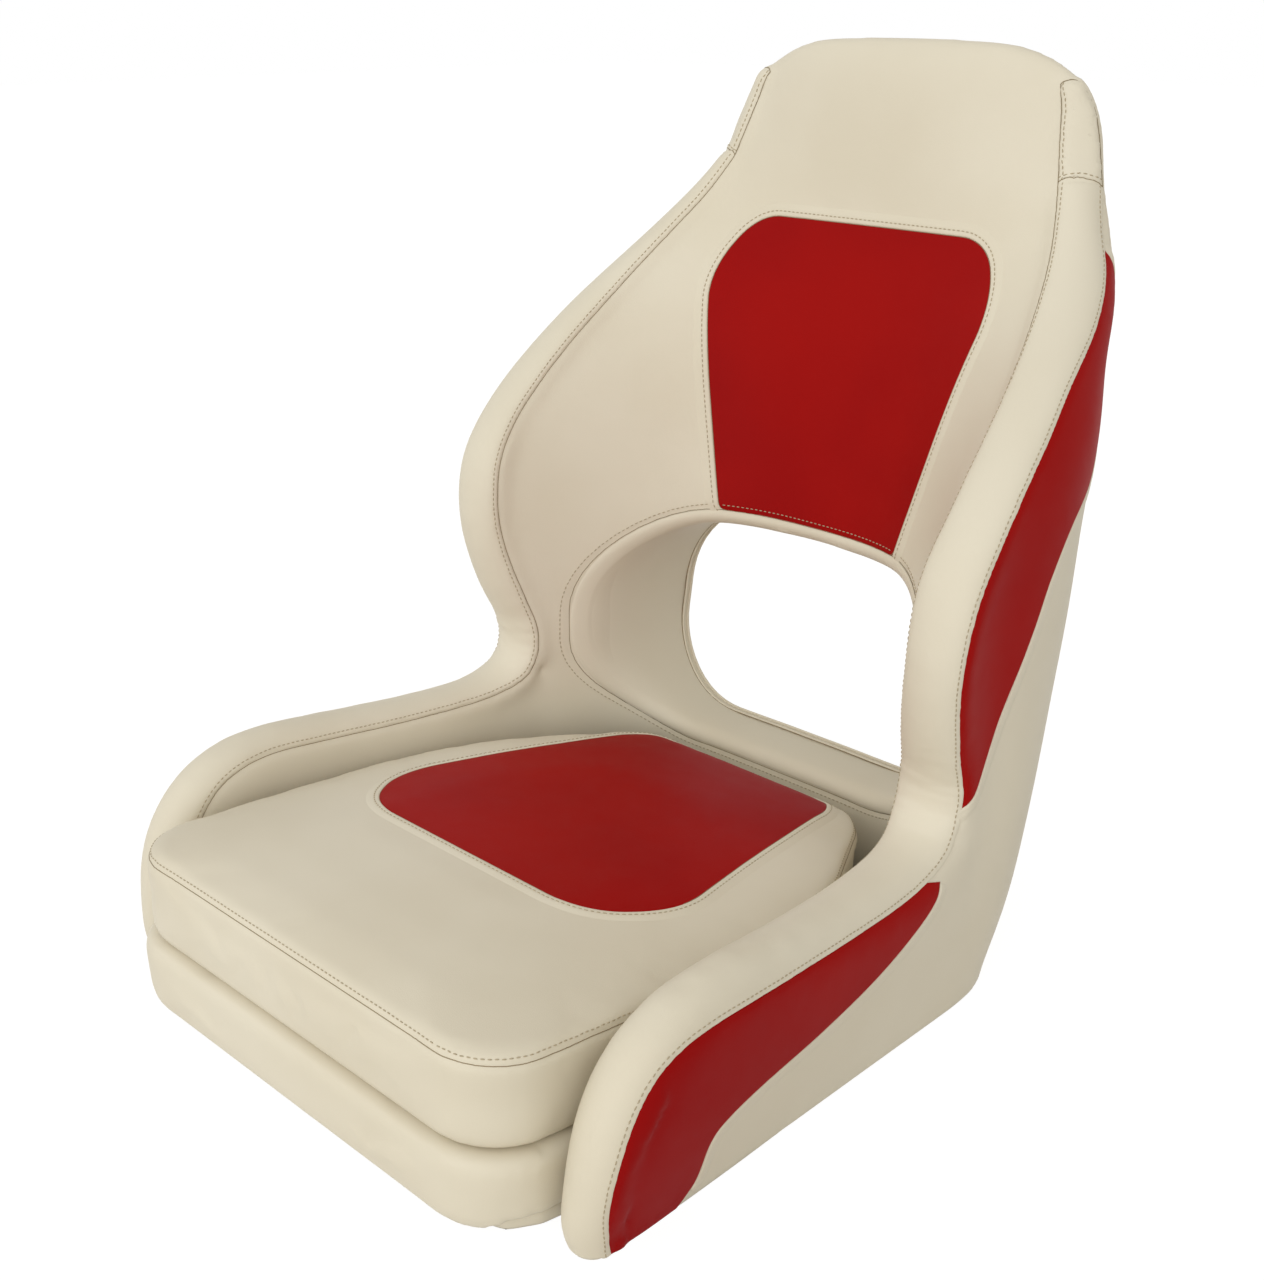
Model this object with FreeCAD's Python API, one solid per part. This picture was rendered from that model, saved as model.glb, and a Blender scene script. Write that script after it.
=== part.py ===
"""Upholstered helm bucket seat with a lumbar opening and a squab that lifts at the front.

The seat faces -Y and stands on z = 0. The origin is the centre of the four-bolt pattern
in the floor of the moulded shell. X = 0 is the plane of symmetry.
"""
import FreeCAD
import Part
import math
import os

Vector = FreeCAD.Vector

# Driving dimensions, millimetres

# Plan and base
bolts_to_front = 250.0        # bolt pattern centre to the front edge of the squab
base_half_width = 247.0       # outside of the cover at the floor
arm_in_front = 216.0          # inner face of the arm, from the centre plane, at the nose
arm_in_middle = 218.0
arm_in_waist = 190.0
arm_joint = 413.0             # where the arms meet the back, behind the front edge
floor_thickness = 10.0
floor_front_setback = 16.0

# Back
back_thickness = 56.0
pad_thickness = 22.0
cover_thickness = 4.0
insert_thickness = 4.0
cap_depth = 14.0              # the lining covers the top of the headrest down to here
hem_height = 5.0              # the cover is turned under the walls of the shell
back_foot = 490.0             # inner face of the back at the floor, behind the front edge
seat_height = 659.0

# Wing band, the padded strip that edges the bucket from headrest to floor
band_depth = 10.0
gusset_depth = 4.0

# Lumbar opening
opening_half_width = 167.0
opening_bottom = 88.0
opening_top = 270.0
opening_corner = 78.0
liner_thickness = 3.0
trim_width = 12.0

# Cushions
tier_height = 56.0            # top of the fixed lower cushion at the front
tier_proud = 5.0              # how far the lower cushion stands out past the squab
squab_top_front = 128.0
squab_top_rear = 90.0
squab_under_rear = 34.0
squab_length = 479.0
squab_half_width = 204.0      # beside the noses of the arms
squab_mid_width = 209.0
squab_corner = 46.0
squab_crown = 13.0
soft_gap = 0.4                # between cushions on different bodies
side_gap = 1.0                # between the lower cushion and the arms

# Hardware in the floor
bolt_spacing = 127.0
bolt_hole_radius = 4.0
nut_barrel_radius = 5.0
nut_flange_radius = 11.0
nut_flange = 2.0
plate_size = 190.0
plate_thickness = 4.0

# Squab hinge
hinge_back = 430.0            # squab pivot behind the front edge
hinge_height = 62.0
hinge_half_span = 122.0       # centre of each ear, from the centre plane
hinge_sheet = 3.0
ear_half_width = 12.0
pivot_radius = 5.0
pivot_clearance = 0.05
bush_wall = 1.5
head_radius = 8.0
head_height = 4.5
screw_radius = 2.5
screw_head_radius = 4.8
screw_head_height = 2.6
board_thickness = 9.0
slot_gap = 1.5

# Numbers that follow from the sizes above
front = -bolts_to_front
pad_share = pad_thickness / back_thickness
cover_share = 1.0 - cover_thickness / back_thickness
insert_share = insert_thickness / back_thickness
joint_y = front + arm_joint
squab_rear = front + squab_length
hinge_y = front + hinge_back

# The tables below were drawn for a seat of this height and half-width. Heights above the
# arms, and the outside of the wings, follow seat_height and base_half_width from there.
drawn_height = 659.0
drawn_half_width = 247.0
arm_height = 160.0


def tall(z):
    """Height of a drawn point on the seat as it is sized."""
    if z <= arm_height:
        return z
    return arm_height + (z - arm_height) * (seat_height - arm_height) / (drawn_height - arm_height)


def wide(x, z):
    """Outer half-width of a drawn point; the headrest keeps its width."""
    fade = max(0.0, 1.0 - z / drawn_headrest)
    return x + (base_half_width - drawn_half_width) * fade


# Levels of the back: height, lean of the inner face behind the foot, half-width and setback
# of the seam on the wing, half-width and setback of the outer seam, thickness change of the
# wall, rear corner radius, fullness of the bucket's inner curve, fall of the row to its ends.
DRAWN_LEVELS = [
    (0.0, 2.0, 191.3, 399.0, 247.0, 399.0, -20.0, 120.0, 6.0, 0.0),
    (5.0, 2.4, 191.3, 399.0, 247.2, 399.0, -17.5, 119.0, 6.0, 0.0),
    (50.0, 6.0, 191.3, 399.0, 248.7, 399.0, -4.0, 110.0, 6.0, 0.0),
    (100.0, 13.0, 191.3, 399.0, 248.8, 399.0, 1.0, 104.0, 5.0, 0.0),
    (150.0, 22.0, 190.5, 400.5, 247.0, 400.5, 2.0, 98.0, 3.8, 0.0),
    (200.0, 31.0, 193.0, 398.0, 246.7, 396.0, 2.0, 98.0, 3.2, 0.0),
    (250.0, 41.0, 204.0, 381.0, 251.0, 382.5, 0.0, 108.0, 2.8, 0.0),
    (300.0, 51.0, 208.0, 379.0, 255.5, 381.0, -1.0, 122.0, 2.8, 0.0),
    (350.0, 63.0, 209.0, 396.0, 256.5, 402.0, -3.0, 130.0, 2.8, 0.0),
    (400.0, 75.0, 207.0, 439.0, 251.5, 450.0, -4.0, 120.0, 2.6, 0.0),
    (450.0, 87.0, 197.0, 494.0, 238.5, 512.0, -3.0, 110.0, 2.4, 0.0),
    (490.0, 97.0, 184.0, 540.0, 219.0, 570.0, -3.0, 110.0, 2.3, 0.0),
    (530.0, 105.0, 168.0, 582.0, 194.0, 611.0, -1.0, 110.0, 2.2, 0.0),
    (563.0, 109.0, 155.0, 606.0, 178.0, 630.0, 1.0, 100.0, 2.2, 0.0),
    (598.0, 114.0, 147.0, 618.0, 169.5, 636.0, 0.0, 80.0, 2.2, 3.0),
    (628.0, 120.0, 142.0, 624.0, 161.0, 638.0, -8.0, 80.0, 2.2, 13.0),
    (647.0, 128.0, 138.0, 627.0, 155.0, 637.0, -24.0, 80.0, 2.2, 22.0),
    (659.0, 138.0, 136.0, 627.0, 150.0, 632.0, -40.0, 80.0, 2.2, 27.0),
]

# Stations of the wing band from the cross seam at the headrest to the floor: half-width,
# setback and height of its inner seam, the same of its outer seam, and its crown.
DRAWN_BAND = [
    (155.0, 606.0, 563.0, 178.0, 630.0, 560.0, 8.5),
    (166.0, 586.0, 535.0, 191.5, 612.0, 533.0, 9.5),
    (178.0, 560.0, 508.0, 210.5, 590.0, 506.0, 9.5),
    (189.0, 527.0, 478.0, 228.5, 553.0, 477.0, 8.5),
    (198.0, 491.0, 446.0, 241.5, 502.4, 443.6, 8.0),
    (204.0, 460.0, 419.0, 249.0, 469.2, 416.5, 9.0),
    (208.0, 430.0, 391.0, 254.5, 436.0, 388.0, 9.5),
    (210.0, 403.0, 362.0, 257.8, 408.0, 358.5, 10.0),
    (209.0, 384.0, 332.0, 258.5, 387.2, 328.0, 11.0),
    (208.0, 378.0, 300.0, 257.0, 378.5, 299.0, 12.0),
    (206.0, 379.0, 270.0, 254.5, 377.5, 270.0, 13.0),
    (201.0, 385.0, 240.0, 251.0, 383.0, 240.5, 13.5),
    (195.0, 395.0, 208.0, 247.0, 394.0, 206.0, 12.0),
    (190.0, 403.0, 180.0, 243.5, 406.0, 174.0, 10.0),
    (188.5, 401.0, 156.0, 243.5, 402.5, 148.0, 10.0),
    (191.0, 390.0, 139.0, 246.5, 388.0, 133.0, 11.0),
    (197.0, 367.0, 130.0, 249.0, 362.0, 124.5, 11.0),
    (203.0, 330.0, 127.0, 252.5, 323.0, 122.0, 12.0),
    (211.0, 264.0, 129.0, 257.5, 256.0, 125.0, 14.0),
    (217.0, 200.0, 134.0, 261.5, 189.0, 129.0, 17.0),
    (220.0, 145.0, 138.0, 262.5, 130.5, 130.5, 17.5),
    (219.0, 108.0, 131.0, 261.5, 96.0, 124.5, 16.0),
    (217.0, 84.0, 113.0, 260.0, 72.0, 107.5, 16.5),
    (216.0, 64.0, 80.0, 259.0, 55.0, 78.0, 17.0),
    (216.0, 54.0, 40.0, 255.0, 47.0, 39.0, 16.0),
    (217.0, 58.0, 0.0, 250.0, 53.0, 0.0, 16.0),
]

# The gusset goes on above the cross seam, up to the shoulder of the headrest.
DRAWN_GUSSET = [
    (155.0, 606.0, 563.5, 178.0, 630.0, 560.5, 6.0),
    (148.0, 615.0, 590.0, 171.0, 634.0, 589.0, 6.0),
    (142.0, 624.0, 615.0, 161.0, 638.0, 614.5, 6.0),
    (137.0, 627.0, 631.0, 151.0, 633.0, 631.0, 5.0),
]
drawn_headrest = 563.0        # height of the cross seam under the gussets


def sized_strip(rows):
    out = []
    for x0, y0, z0, x1, y1, z1, crown in rows:
        out.append((x0, y0, tall(z0), wide(x1, z1), y1, tall(z1), crown))
    return out


LEVELS = []
for z, lean, seam_x, seam_y, side_x, *rest in DRAWN_LEVELS:
    LEVELS.append((tall(z), lean, seam_x, seam_y, wide(side_x, z), *rest))
BAND = sized_strip(DRAWN_BAND)
GUSSET = sized_strip(DRAWN_GUSSET)
headrest_start = tall(drawn_headrest)

# Side of the arm under the band, seen from the side: setback and height.
ARM_OUTLINE = [
    (68.0, 0.0), (63.0, 36.0), (72.0, 74.0), (91.0, 104.0), (112.0, 120.0), (145.0, 127.0),
    (200.0, 122.5), (264.0, 117.5), (330.0, 115.0), (370.0, 119.0), (394.0, 127.0),
]


def point(x, setback, z):
    """A point given by its distance behind the front edge of the squab."""
    return Vector(x, front + setback, z)


def surface(grid):
    made = Part.BSplineSurface()
    made.interpolate(grid)
    return made


def border(made, name):
    """One of the four edges of a surface."""
    u0, u1, v0, v1 = made.bounds()
    curve = {
        "first": lambda: made.uIso(u0),
        "last": lambda: made.uIso(u1),
        "start": lambda: made.vIso(v0),
        "end": lambda: made.vIso(v1),
    }[name]()
    return curve.toShape()


def close_between(one, two):
    """Solid between two surfaces with the same number of rows: ruled sides, flat ends."""
    faces = [one.toShape(), two.toShape()]
    for name in ("start", "end"):
        faces.append(Part.makeRuledSurface(border(one, name), border(two, name)))
    for name in ("first", "last"):
        a = border(one, name)
        b = border(two, name)
        ends = []
        for pick in (0, -1):
            ends.append(Part.makeLine(a.Vertexes[pick].Point, b.Vertexes[pick].Point))
        wire = Part.Wire(Part.__sortEdges__([a, b] + ends))
        try:
            faces.append(Part.Face(wire))
        except Part.OCCError:
            faces.append(Part.makeRuledSurface(a, b))
    shell = Part.makeShell(faces)
    shell.sewShape()
    solid = Part.Solid(shell)
    if solid.Volume < 0:
        solid.reverse()
    return solid


def mirrored(shape):
    return shape.mirror(Vector(0, 0, 0), Vector(1, 0, 0))


def box(x0, x1, y0, y1, z0, z1):
    return Part.makeBox(x1 - x0, y1 - y0, z1 - z0, Vector(x0, y0, z0))


def rod(x, y, z, radius, length, axis=(0, 0, 1)):
    return Part.makeCylinder(radius, length, Vector(x, y, z), Vector(*axis))


def group(shapes):
    return Part.makeCompound(shapes)


# Back of the bucket

ROW_POINTS = 13
ROW_START = ROW_POINTS // 2 - 1   # one point left of the centre plane keeps the rows level there


def even(dense, count):
    """Points at even distances along a polyline."""
    reach = [0.0]
    for a, b in zip(dense, dense[1:]):
        reach.append(reach[-1] + (b - a).Length)
    out = []
    i = 0
    for k in range(count):
        want = reach[-1] * k / (count - 1)
        while i < len(dense) - 2 and reach[i + 1] < want:
            i += 1
        part = (want - reach[i]) / (reach[i + 1] - reach[i])
        out.append(dense[i] + (dense[i + 1] - dense[i]) * part)
    return out


def edge_depth(z):
    """How far behind the seams the foam starts, under the band or the gusset."""
    return band_depth if z < headrest_start else gusset_depth


def inner_row(level):
    """Even points across the sitter's side of the back."""
    z, lean, seam_x, seam_y, _, _, _, _, fullness, fall = level
    centre = back_foot + lean
    end = seam_y + edge_depth(z)
    dense = []
    for k in range(-40, 41):
        step = k / 40.0
        y = centre - (centre - end) * abs(step) ** fullness
        dense.append(point(step * seam_x, y, z - fall * abs(step) ** 5))
    return even(dense, ROW_POINTS)


def outer_row(level):
    """Even points round the outside, from side to side, with rounded rear corners."""
    z, lean, _, _, side_x, side_y, extra, corner, _, fall = level
    rear = back_foot + lean + back_thickness + extra
    start = side_y + edge_depth(z)
    across = min(corner, side_x - 5.0)
    along = min(corner, rear - start - 1.0)
    right = [point(0.0, rear, z)]
    for k in range(31):
        turn = math.pi / 2 * (1.0 - k / 30.0)
        x = side_x - across + across * math.cos(turn)
        y = rear - along + along * math.sin(turn)
        right.append(point(x, y, z - fall * (x / side_x) ** 5))
    if rear - along > start + 0.5:
        right.append(point(side_x, start, z - fall))
    left = [Vector(-spot.x, spot.y, spot.z) for spot in reversed(right[1:])]
    return even(left + right, ROW_POINTS)


def back_surface(share):
    """Surface at a share of the way from the sitter's side to the outside."""
    grid = []
    for level in LEVELS:
        pairs = zip(inner_row(level)[ROW_START:], outer_row(level)[ROW_START:])
        grid.append([a + (b - a) * share for a, b in pairs])
    return surface(grid)


def back_layer(share_a, share_b):
    """Right half of one layer of the back."""
    layer = close_between(back_surface(share_a), back_surface(share_b))
    return layer.common(box(0, 400, front, front + 800, -10, seat_height + 10))


# Arms, from nose to waist

# Setback, inner face, and how much wider the outside is at the top than at the floor
ARM_STATIONS = (
    (40.0, arm_in_front, 15.0),
    (100.0, arm_in_front, 17.0),
    (180.0, arm_in_middle, 16.0),
    (260.0, arm_in_middle - 7.0, 12.5),
    (340.0, arm_in_middle - 16.0, 6.5),
    (arm_joint, arm_in_waist, 0.0),
)
arm_top = 152.0
arm_swell = 2.0               # how far the outside of the arm is puffed out at half height
arm_step = 0.5                # step from the back to the arm, on both faces
arm_end_top = 138.0           # height of the arm where it meets the back
joint_top = 144.0             # the back is trimmed square up to here


def arm_surface(share):
    grid = []
    for setback, inside, flare in ARM_STATIONS:
        row = []
        for z in (0.0, 50.0, 100.0, arm_top):
            up = z / arm_top
            outside = base_half_width + flare * up ** 0.7 + arm_swell * math.sin(math.pi * up)
            x = inside + (outside - inside) * share + arm_step
            row.append(point(x, setback, z))
        grid.append(row)
    return surface(grid)


def arm_profile():
    """Prism of the arm's side view, under the band."""
    top = [point(0, y, z) for y, z in ARM_OUTLINE]
    curve = Part.BSplineCurve()
    curve.interpolate(top + [Vector(0, joint_y, arm_end_top)])
    corner = Vector(0, joint_y, 0)
    edges = [
        curve.toShape(),
        Part.makeLine(Vector(0, joint_y, arm_end_top), corner),
        Part.makeLine(corner, top[0]),
    ]
    face = Part.Face(Part.Wire(edges))
    return face.extrude(Vector(base_half_width + 60.0, 0, 0))


def arm_layer(share_a, share_b, profile):
    return close_between(arm_surface(share_a), arm_surface(share_b)).common(profile)


def whole(right):
    """Both halves of a piece that crosses the centre plane."""
    return right.fuse(mirrored(right))


# Wing bands and gussets

def strip(stations, depth):
    """Padded strip on the right side: crowned face, flat back."""
    inner = [point(x, y, z) for x, y, z, _, _, _, _ in stations]
    outer = [point(x, y, z) for _, _, _, x, y, z, _ in stations]
    middle = [(a + b) * 0.5 for a, b in zip(inner, outer)]
    face_grid = []
    back_grid = []
    last = len(stations) - 1
    for i, (a, b) in enumerate(zip(inner, outer)):
        run = middle[min(i + 1, last)] - middle[max(i - 1, 0)]
        if i == last and b.z == 0.0:
            run = Vector(0, 0, -1)
        across = b - a
        out = run.cross(across)
        out.normalize()
        crown = stations[i][6]
        row = []
        for step, rise in ((0.0, 0.0), (0.1, 0.52), (0.5, 1.0), (0.9, 0.52), (1.0, 0.0)):
            row.append(a + across * step + out * (rise * crown))
        face_grid.append(row)
        back_grid.append([a + across * step - out * depth for step in (0.0, 0.1, 0.5, 0.9, 1.0)])
    return close_between(surface(face_grid), surface(back_grid))


# Openings and outlines that are pushed through the layers

def rounded_outline(half_width, low, high, radius, grow=0.0):
    """Closed outline in the XZ plane with four equal corners."""
    x = half_width + grow
    z0 = low - grow
    z1 = high + grow
    r = radius + grow
    diagonal = r * (1.0 - math.sqrt(0.5))
    edges = [
        Part.makeLine(Vector(-x + r, 0, z0), Vector(x - r, 0, z0)),
        Part.Arc(Vector(x - r, 0, z0), Vector(x - diagonal, 0, z0 + diagonal),
                 Vector(x, 0, z0 + r)).toShape(),
        Part.makeLine(Vector(x, 0, z0 + r), Vector(x, 0, z1 - r)),
        Part.Arc(Vector(x, 0, z1 - r), Vector(x - diagonal, 0, z1 - diagonal),
                 Vector(x - r, 0, z1)).toShape(),
        Part.makeLine(Vector(x - r, 0, z1), Vector(-x + r, 0, z1)),
        Part.Arc(Vector(-x + r, 0, z1), Vector(-x + diagonal, 0, z1 - diagonal),
                 Vector(-x, 0, z1 - r)).toShape(),
        Part.makeLine(Vector(-x, 0, z1 - r), Vector(-x, 0, z0 + r)),
        Part.Arc(Vector(-x, 0, z0 + r), Vector(-x + diagonal, 0, z0 + diagonal),
                 Vector(-x + r, 0, z0)).toShape(),
    ]
    return Part.Face(Part.Wire(edges))


def opening_prism(grow):
    face = rounded_outline(opening_half_width, opening_bottom, opening_top, opening_corner, grow)
    face.translate(Vector(0, joint_y - 80.0, 0))
    return face.extrude(Vector(0, 400.0, 0))


def polyline_face(points, radii):
    """Face whose corners are rounded by arcs, with one radius or one for each corner."""
    if not isinstance(radii, list):
        radii = [radii] * len(points)
    edges = []
    count = len(points)
    cuts = []
    for i in range(count):
        here = points[i]
        back = points[i - 1] - here
        ahead = points[(i + 1) % count] - here
        reach = min(radii[i], back.Length * 0.45, ahead.Length * 0.45)
        back.normalize()
        ahead.normalize()
        start = here + back * reach
        end = here + ahead * reach
        middle = here * 0.4 + (start + end) * 0.3
        cuts.append((start, middle, end))
    for i in range(count):
        start, middle, end = cuts[i]
        edges.append(Part.Arc(start, middle, end).toShape())
        edges.append(Part.makeLine(end, cuts[(i + 1) % count][0]))
    return Part.Face(Part.Wire(edges))


def back_insert_prism():
    corners = [(-90.0, 283.0), (90.0, 283.0), (137.0, 476.0), (112.0, 520.0), (-112.0, 520.0),
               (-137.0, 476.0)]
    radii = [6.0, 6.0, 34.0, 34.0, 34.0, 34.0]
    face = polyline_face([point(x, arm_joint - 80.0, tall(z)) for x, z in corners], radii)
    return face.extrude(Vector(0, 400.0, 0))


def side_prism(outline):
    inside = arm_in_waist - 40.0
    face = Part.Face(Part.makePolygon([point(inside, y, tall(z)) for y, z in outline + outline[:1]]))
    return face.extrude(Vector(base_half_width, 0, 0))


UPPER_SIDE = [
    (330.0, 159.0), (402.0, 159.0), (420.0, 172.0), (434.0, 200.0), (446.0, 240.0),
    (460.0, 284.0), (474.0, 320.0), (500.0, 352.0), (545.0, 380.0), (585.0, 420.0),
    (612.0, 470.0), (630.0, 520.0), (600.0, 540.0), (330.0, 540.0),
]
LOWER_SIDE = [
    (20.0, -5.0), (110.0, -5.0), (124.0, 14.0), (132.0, 40.0), (146.0, 51.0), (180.0, 60.0),
    (238.0, 69.0), (296.0, 81.0), (340.0, 95.0), (366.0, 108.0), (378.0, 128.0),
    (340.0, 160.0), (20.0, 160.0),
]


def bucket_layer(share_a, share_b, profile):
    """Right half of one layer, arm and back in one piece."""
    trim = box(0, 300, front, joint_y, -1, joint_top)
    back = back_layer(share_a, share_b).cut(trim)
    return back.fuse(arm_layer(share_a, share_b, profile))


def headrest_cap():
    """Space over the arched line where the lining is turned back over the headrest."""
    _, _, _, _, side_x, _, _, _, _, fall = LEVELS[-1]
    arch = []
    for k in range(-6, 7):
        x = side_x * k / 6.0
        arch.append(Vector(x, front, seat_height - cap_depth - fall * abs(k / 6.0) ** 5))
    curve = Part.BSplineCurve()
    curve.interpolate(arch)
    over = Vector(0, 0, 2 * cap_depth + fall)
    corners = [arch[-1], arch[-1] + over, arch[0] + over, arch[0]]
    wire = Part.Wire([curve.toShape()] + Part.makePolygon(corners).Edges)
    return Part.Face(wire).extrude(Vector(0, 800.0, 0))


def bucket(band, gusset):
    """Layers of the bucket: lining, shell and cover, with the pieces set into them."""
    profile = arm_profile()
    lining = bucket_layer(0.0, pad_share, profile).cut(band).cut(gusset)
    shell = bucket_layer(pad_share, cover_share, profile).cut(band).cut(gusset)
    cover = bucket_layer(cover_share, 1.0, profile).cut(band).cut(gusset)
    hole = opening_prism(0.0)
    liner_hole = opening_prism(liner_thickness)
    ring_hole = opening_prism(trim_width)
    insert_tool = back_insert_prism()
    facing = back_layer(0.0, insert_share)
    insert = facing.common(insert_tool)

    below_floor = box(-300, 300, front - 10, front + 700, -1, floor_thickness)
    cap = headrest_cap()
    lining = lining.fuse(shell.common(cap)).fuse(cover.common(cap))
    shell = shell.cut(cap)
    cover = cover.cut(cap)
    slab = floor_slab(band)
    hem = box(-300, 300, front, front + 800, -1, hem_height)
    cover = cover.fuse(shell.common(hem).cut(slab))
    shell = shell.cut(hem)
    lining = lining.cut(below_floor).cut(hole).cut(insert)
    liner = shell.common(liner_hole).cut(hole)
    ring = cover.common(ring_hole).cut(hole)
    cover = cover.cut(ring_hole)
    parts = {}
    for name, outline in (("upper_side_insert", UPPER_SIDE), ("lower_side_insert", LOWER_SIDE)):
        tool = side_prism(outline)
        parts[name + "_right"] = cover.common(tool)
        parts[name + "_left"] = mirrored(parts[name + "_right"])
        cover = cover.cut(tool)
    parts["inner_lining"] = whole(lining)
    parts["seat_shell"] = whole(shell.cut(liner_hole)).fuse(slab)
    parts["lumbar_liner"] = whole(liner)
    parts["lumbar_trim_ring"] = whole(ring)
    parts["back_insert"] = whole(insert)
    parts["outer_cover"] = whole(cover)
    return parts


def floor_slab(band):
    """Moulded floor of the shell, between the walls."""
    tuck = pad_share * (base_half_width - arm_in_front) + 4.0
    foot = LEVELS[0]
    middle_wall = [a + (b - a) * 0.6 for a, b in zip(inner_row(foot), outer_row(foot))]
    half = [point(x, y, 0) for x, y in (
        (165.0, floor_front_setback), (188.0, 24.0), (200.0, 44.0), (arm_in_front - 9.0, 88.0),
        (arm_in_front + tuck, 92.0), (arm_in_middle + tuck, 180.0),
    )]
    half.extend(reversed([spot for spot in middle_wall if spot.x > 1.0]))
    left = [Vector(-spot.x, spot.y, 0) for spot in reversed(half)]
    wire = Part.makePolygon(half + left + half[:1])
    slab = Part.Face(wire).extrude(Vector(0, 0, floor_thickness))
    for x, y in bolt_places():
        slab = slab.cut(rod(x, y, -1, nut_barrel_radius + pivot_clearance, floor_thickness + 2))
    return slab.cut(band).cut(mirrored(band))


def bolt_places():
    half = bolt_spacing / 2
    return [(x, y) for x in (-half, half) for y in (-half, half)]


# Cushions

def cushion(half_plan, corner, base, top, profile):
    """Pad with crown and drawn-in sides.

    half_plan lists the right-hand corners of the plan, front to rear. base and top give the
    heights at a setback. profile lists share of height, inset, shrink and lift.
    """
    plan = half_plan + [(-x, y) for x, y in reversed(half_plan)]
    centre = (half_plan[0][1] + half_plan[-1][1]) / 2.0
    widest = max(x for x, _ in half_plan)
    length = half_plan[-1][1] - half_plan[0][1]
    sections = []
    for share, inset, shrink, lift in profile:
        wide = (1.0 - inset / widest) * (1.0 - shrink)
        long = (1.0 - 2.0 * inset / length) * (1.0 - shrink)
        ring = []
        for x, y in plan:
            setback = centre + (y - centre) * long
            z = base(setback) + share * (top(setback) - base(setback)) + lift
            ring.append(point(x * wide, setback, z))
        sections.append(polyline_face(ring, corner * (1.0 - shrink)).OuterWire)
    return Part.makeLoft(sections, True, True)


def squab_top(setback):
    return squab_top_front + (squab_top_rear - squab_top_front) * setback / squab_length


def squab_base(setback):
    low = tier_height + soft_gap
    return low + (squab_under_rear - low) * setback / squab_length


SQUAB_HALF = [
    (squab_half_width - 5.0, 1.0), (squab_mid_width, 150.0), (squab_mid_width - 4.0, 262.0),
    (188.0, 340.0), (113.0, squab_length),
]


def squab_parts():
    height = squab_crown
    profile = [
        (0.0, 5.0, 0.0, 0.0), (0.05, 1.5, 0.0, 0.0), (0.16, 0.0, 0.0, 0.0), (0.5, 1.0, 0.0, 0.0),
        (0.82, 0.0, 0.0, 0.0), (0.93, 2.5, 0.0, 0.0), (0.98, 7.0, 0.0, 0.0),
        (1.0, 14.0, 0.0, 0.0), (1.0, 14.0, 0.1, 0.35 * height), (1.0, 14.0, 0.26, 0.7 * height),
        (1.0, 14.0, 0.5, height),
    ]
    pad = cushion(SQUAB_HALF, squab_corner, squab_base, squab_top, profile)
    pad = pad.cut(tail_trim())
    for side in (-1, 1):
        middle = side * hinge_half_span
        reach = ear_half_width + slot_gap
        wide = hinge_sheet * 2 + head_height + 5.0
        slot = box(middle - wide, middle + wide, hinge_y - reach - 2.0, squab_rear + 5.0,
                   0, hinge_height + reach)
        pad = pad.cut(slot)
    board = squab_board()
    pad = pad.cut(board)
    arms, screws = hinge_arms()
    for arm in arms:
        pad = pad.cut(arm)
    pad = pad.cut(screws)
    outline = [(-96.0, 466.0), (96.0, 466.0), (150.0, 215.0), (112.0, 160.0), (-112.0, 160.0),
               (-150.0, 215.0)]
    face = polyline_face([point(x, y, 60.0) for x, y in outline], 42.0)
    tool = face.extrude(Vector(0, 0, 100.0))
    lower = pad.copy()
    lower.translate(Vector(0, 0, -insert_thickness))
    insert = pad.common(tool).cut(lower)
    solids = sorted(insert.Solids, key=lambda solid: solid.BoundBox.ZMax)
    insert = solids[-1]
    pad = pad.cut(insert)
    return {
        "squab_cushion": pad,
        "squab_insert": insert,
        "squab_board": board,
        "hinge_arm_right": arms[1],
        "hinge_arm_left": arms[0],
        "arm_screws": screws,
    }


def tail_trim():
    """What is taken off so that the tail of the squab is round about its own axis."""
    radius = (squab_top(squab_length) - squab_base(squab_length)) / 2.0
    middle_z = (squab_top(squab_length) + squab_base(squab_length)) / 2.0
    middle_y = squab_rear - radius
    block = box(-300, 300, middle_y, squab_rear + 20, middle_z - 60, middle_z + 60)
    return block.cut(rod(-310, middle_y, middle_z, radius, 620, (1, 0, 0)))


def squab_board():
    """Plywood board let into the underside of the squab."""
    outline = [(-150.0, 28.0), (150.0, 28.0), (176.0, 90.0), (178.0, 250.0), (150.0, 380.0),
               (100.0, 404.0), (-100.0, 404.0), (-150.0, 380.0), (-178.0, 250.0), (-176.0, 90.0)]
    face = polyline_face([point(x, y, squab_base(y)) for x, y in outline], 30.0)
    return face.extrude(Vector(0, 0, board_thickness))


# Setbacks of the hinge arm: front and end of its foot, start of its rise, and its screws
arm_front = 325.0
arm_foot_end = 388.0
arm_rise = 404.0
arm_web_height = 14.0
foot_width = 20.0
ARM_SCREWS = (340.0, 372.0)


def board_top(setback):
    return squab_base(setback) + board_thickness


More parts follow.
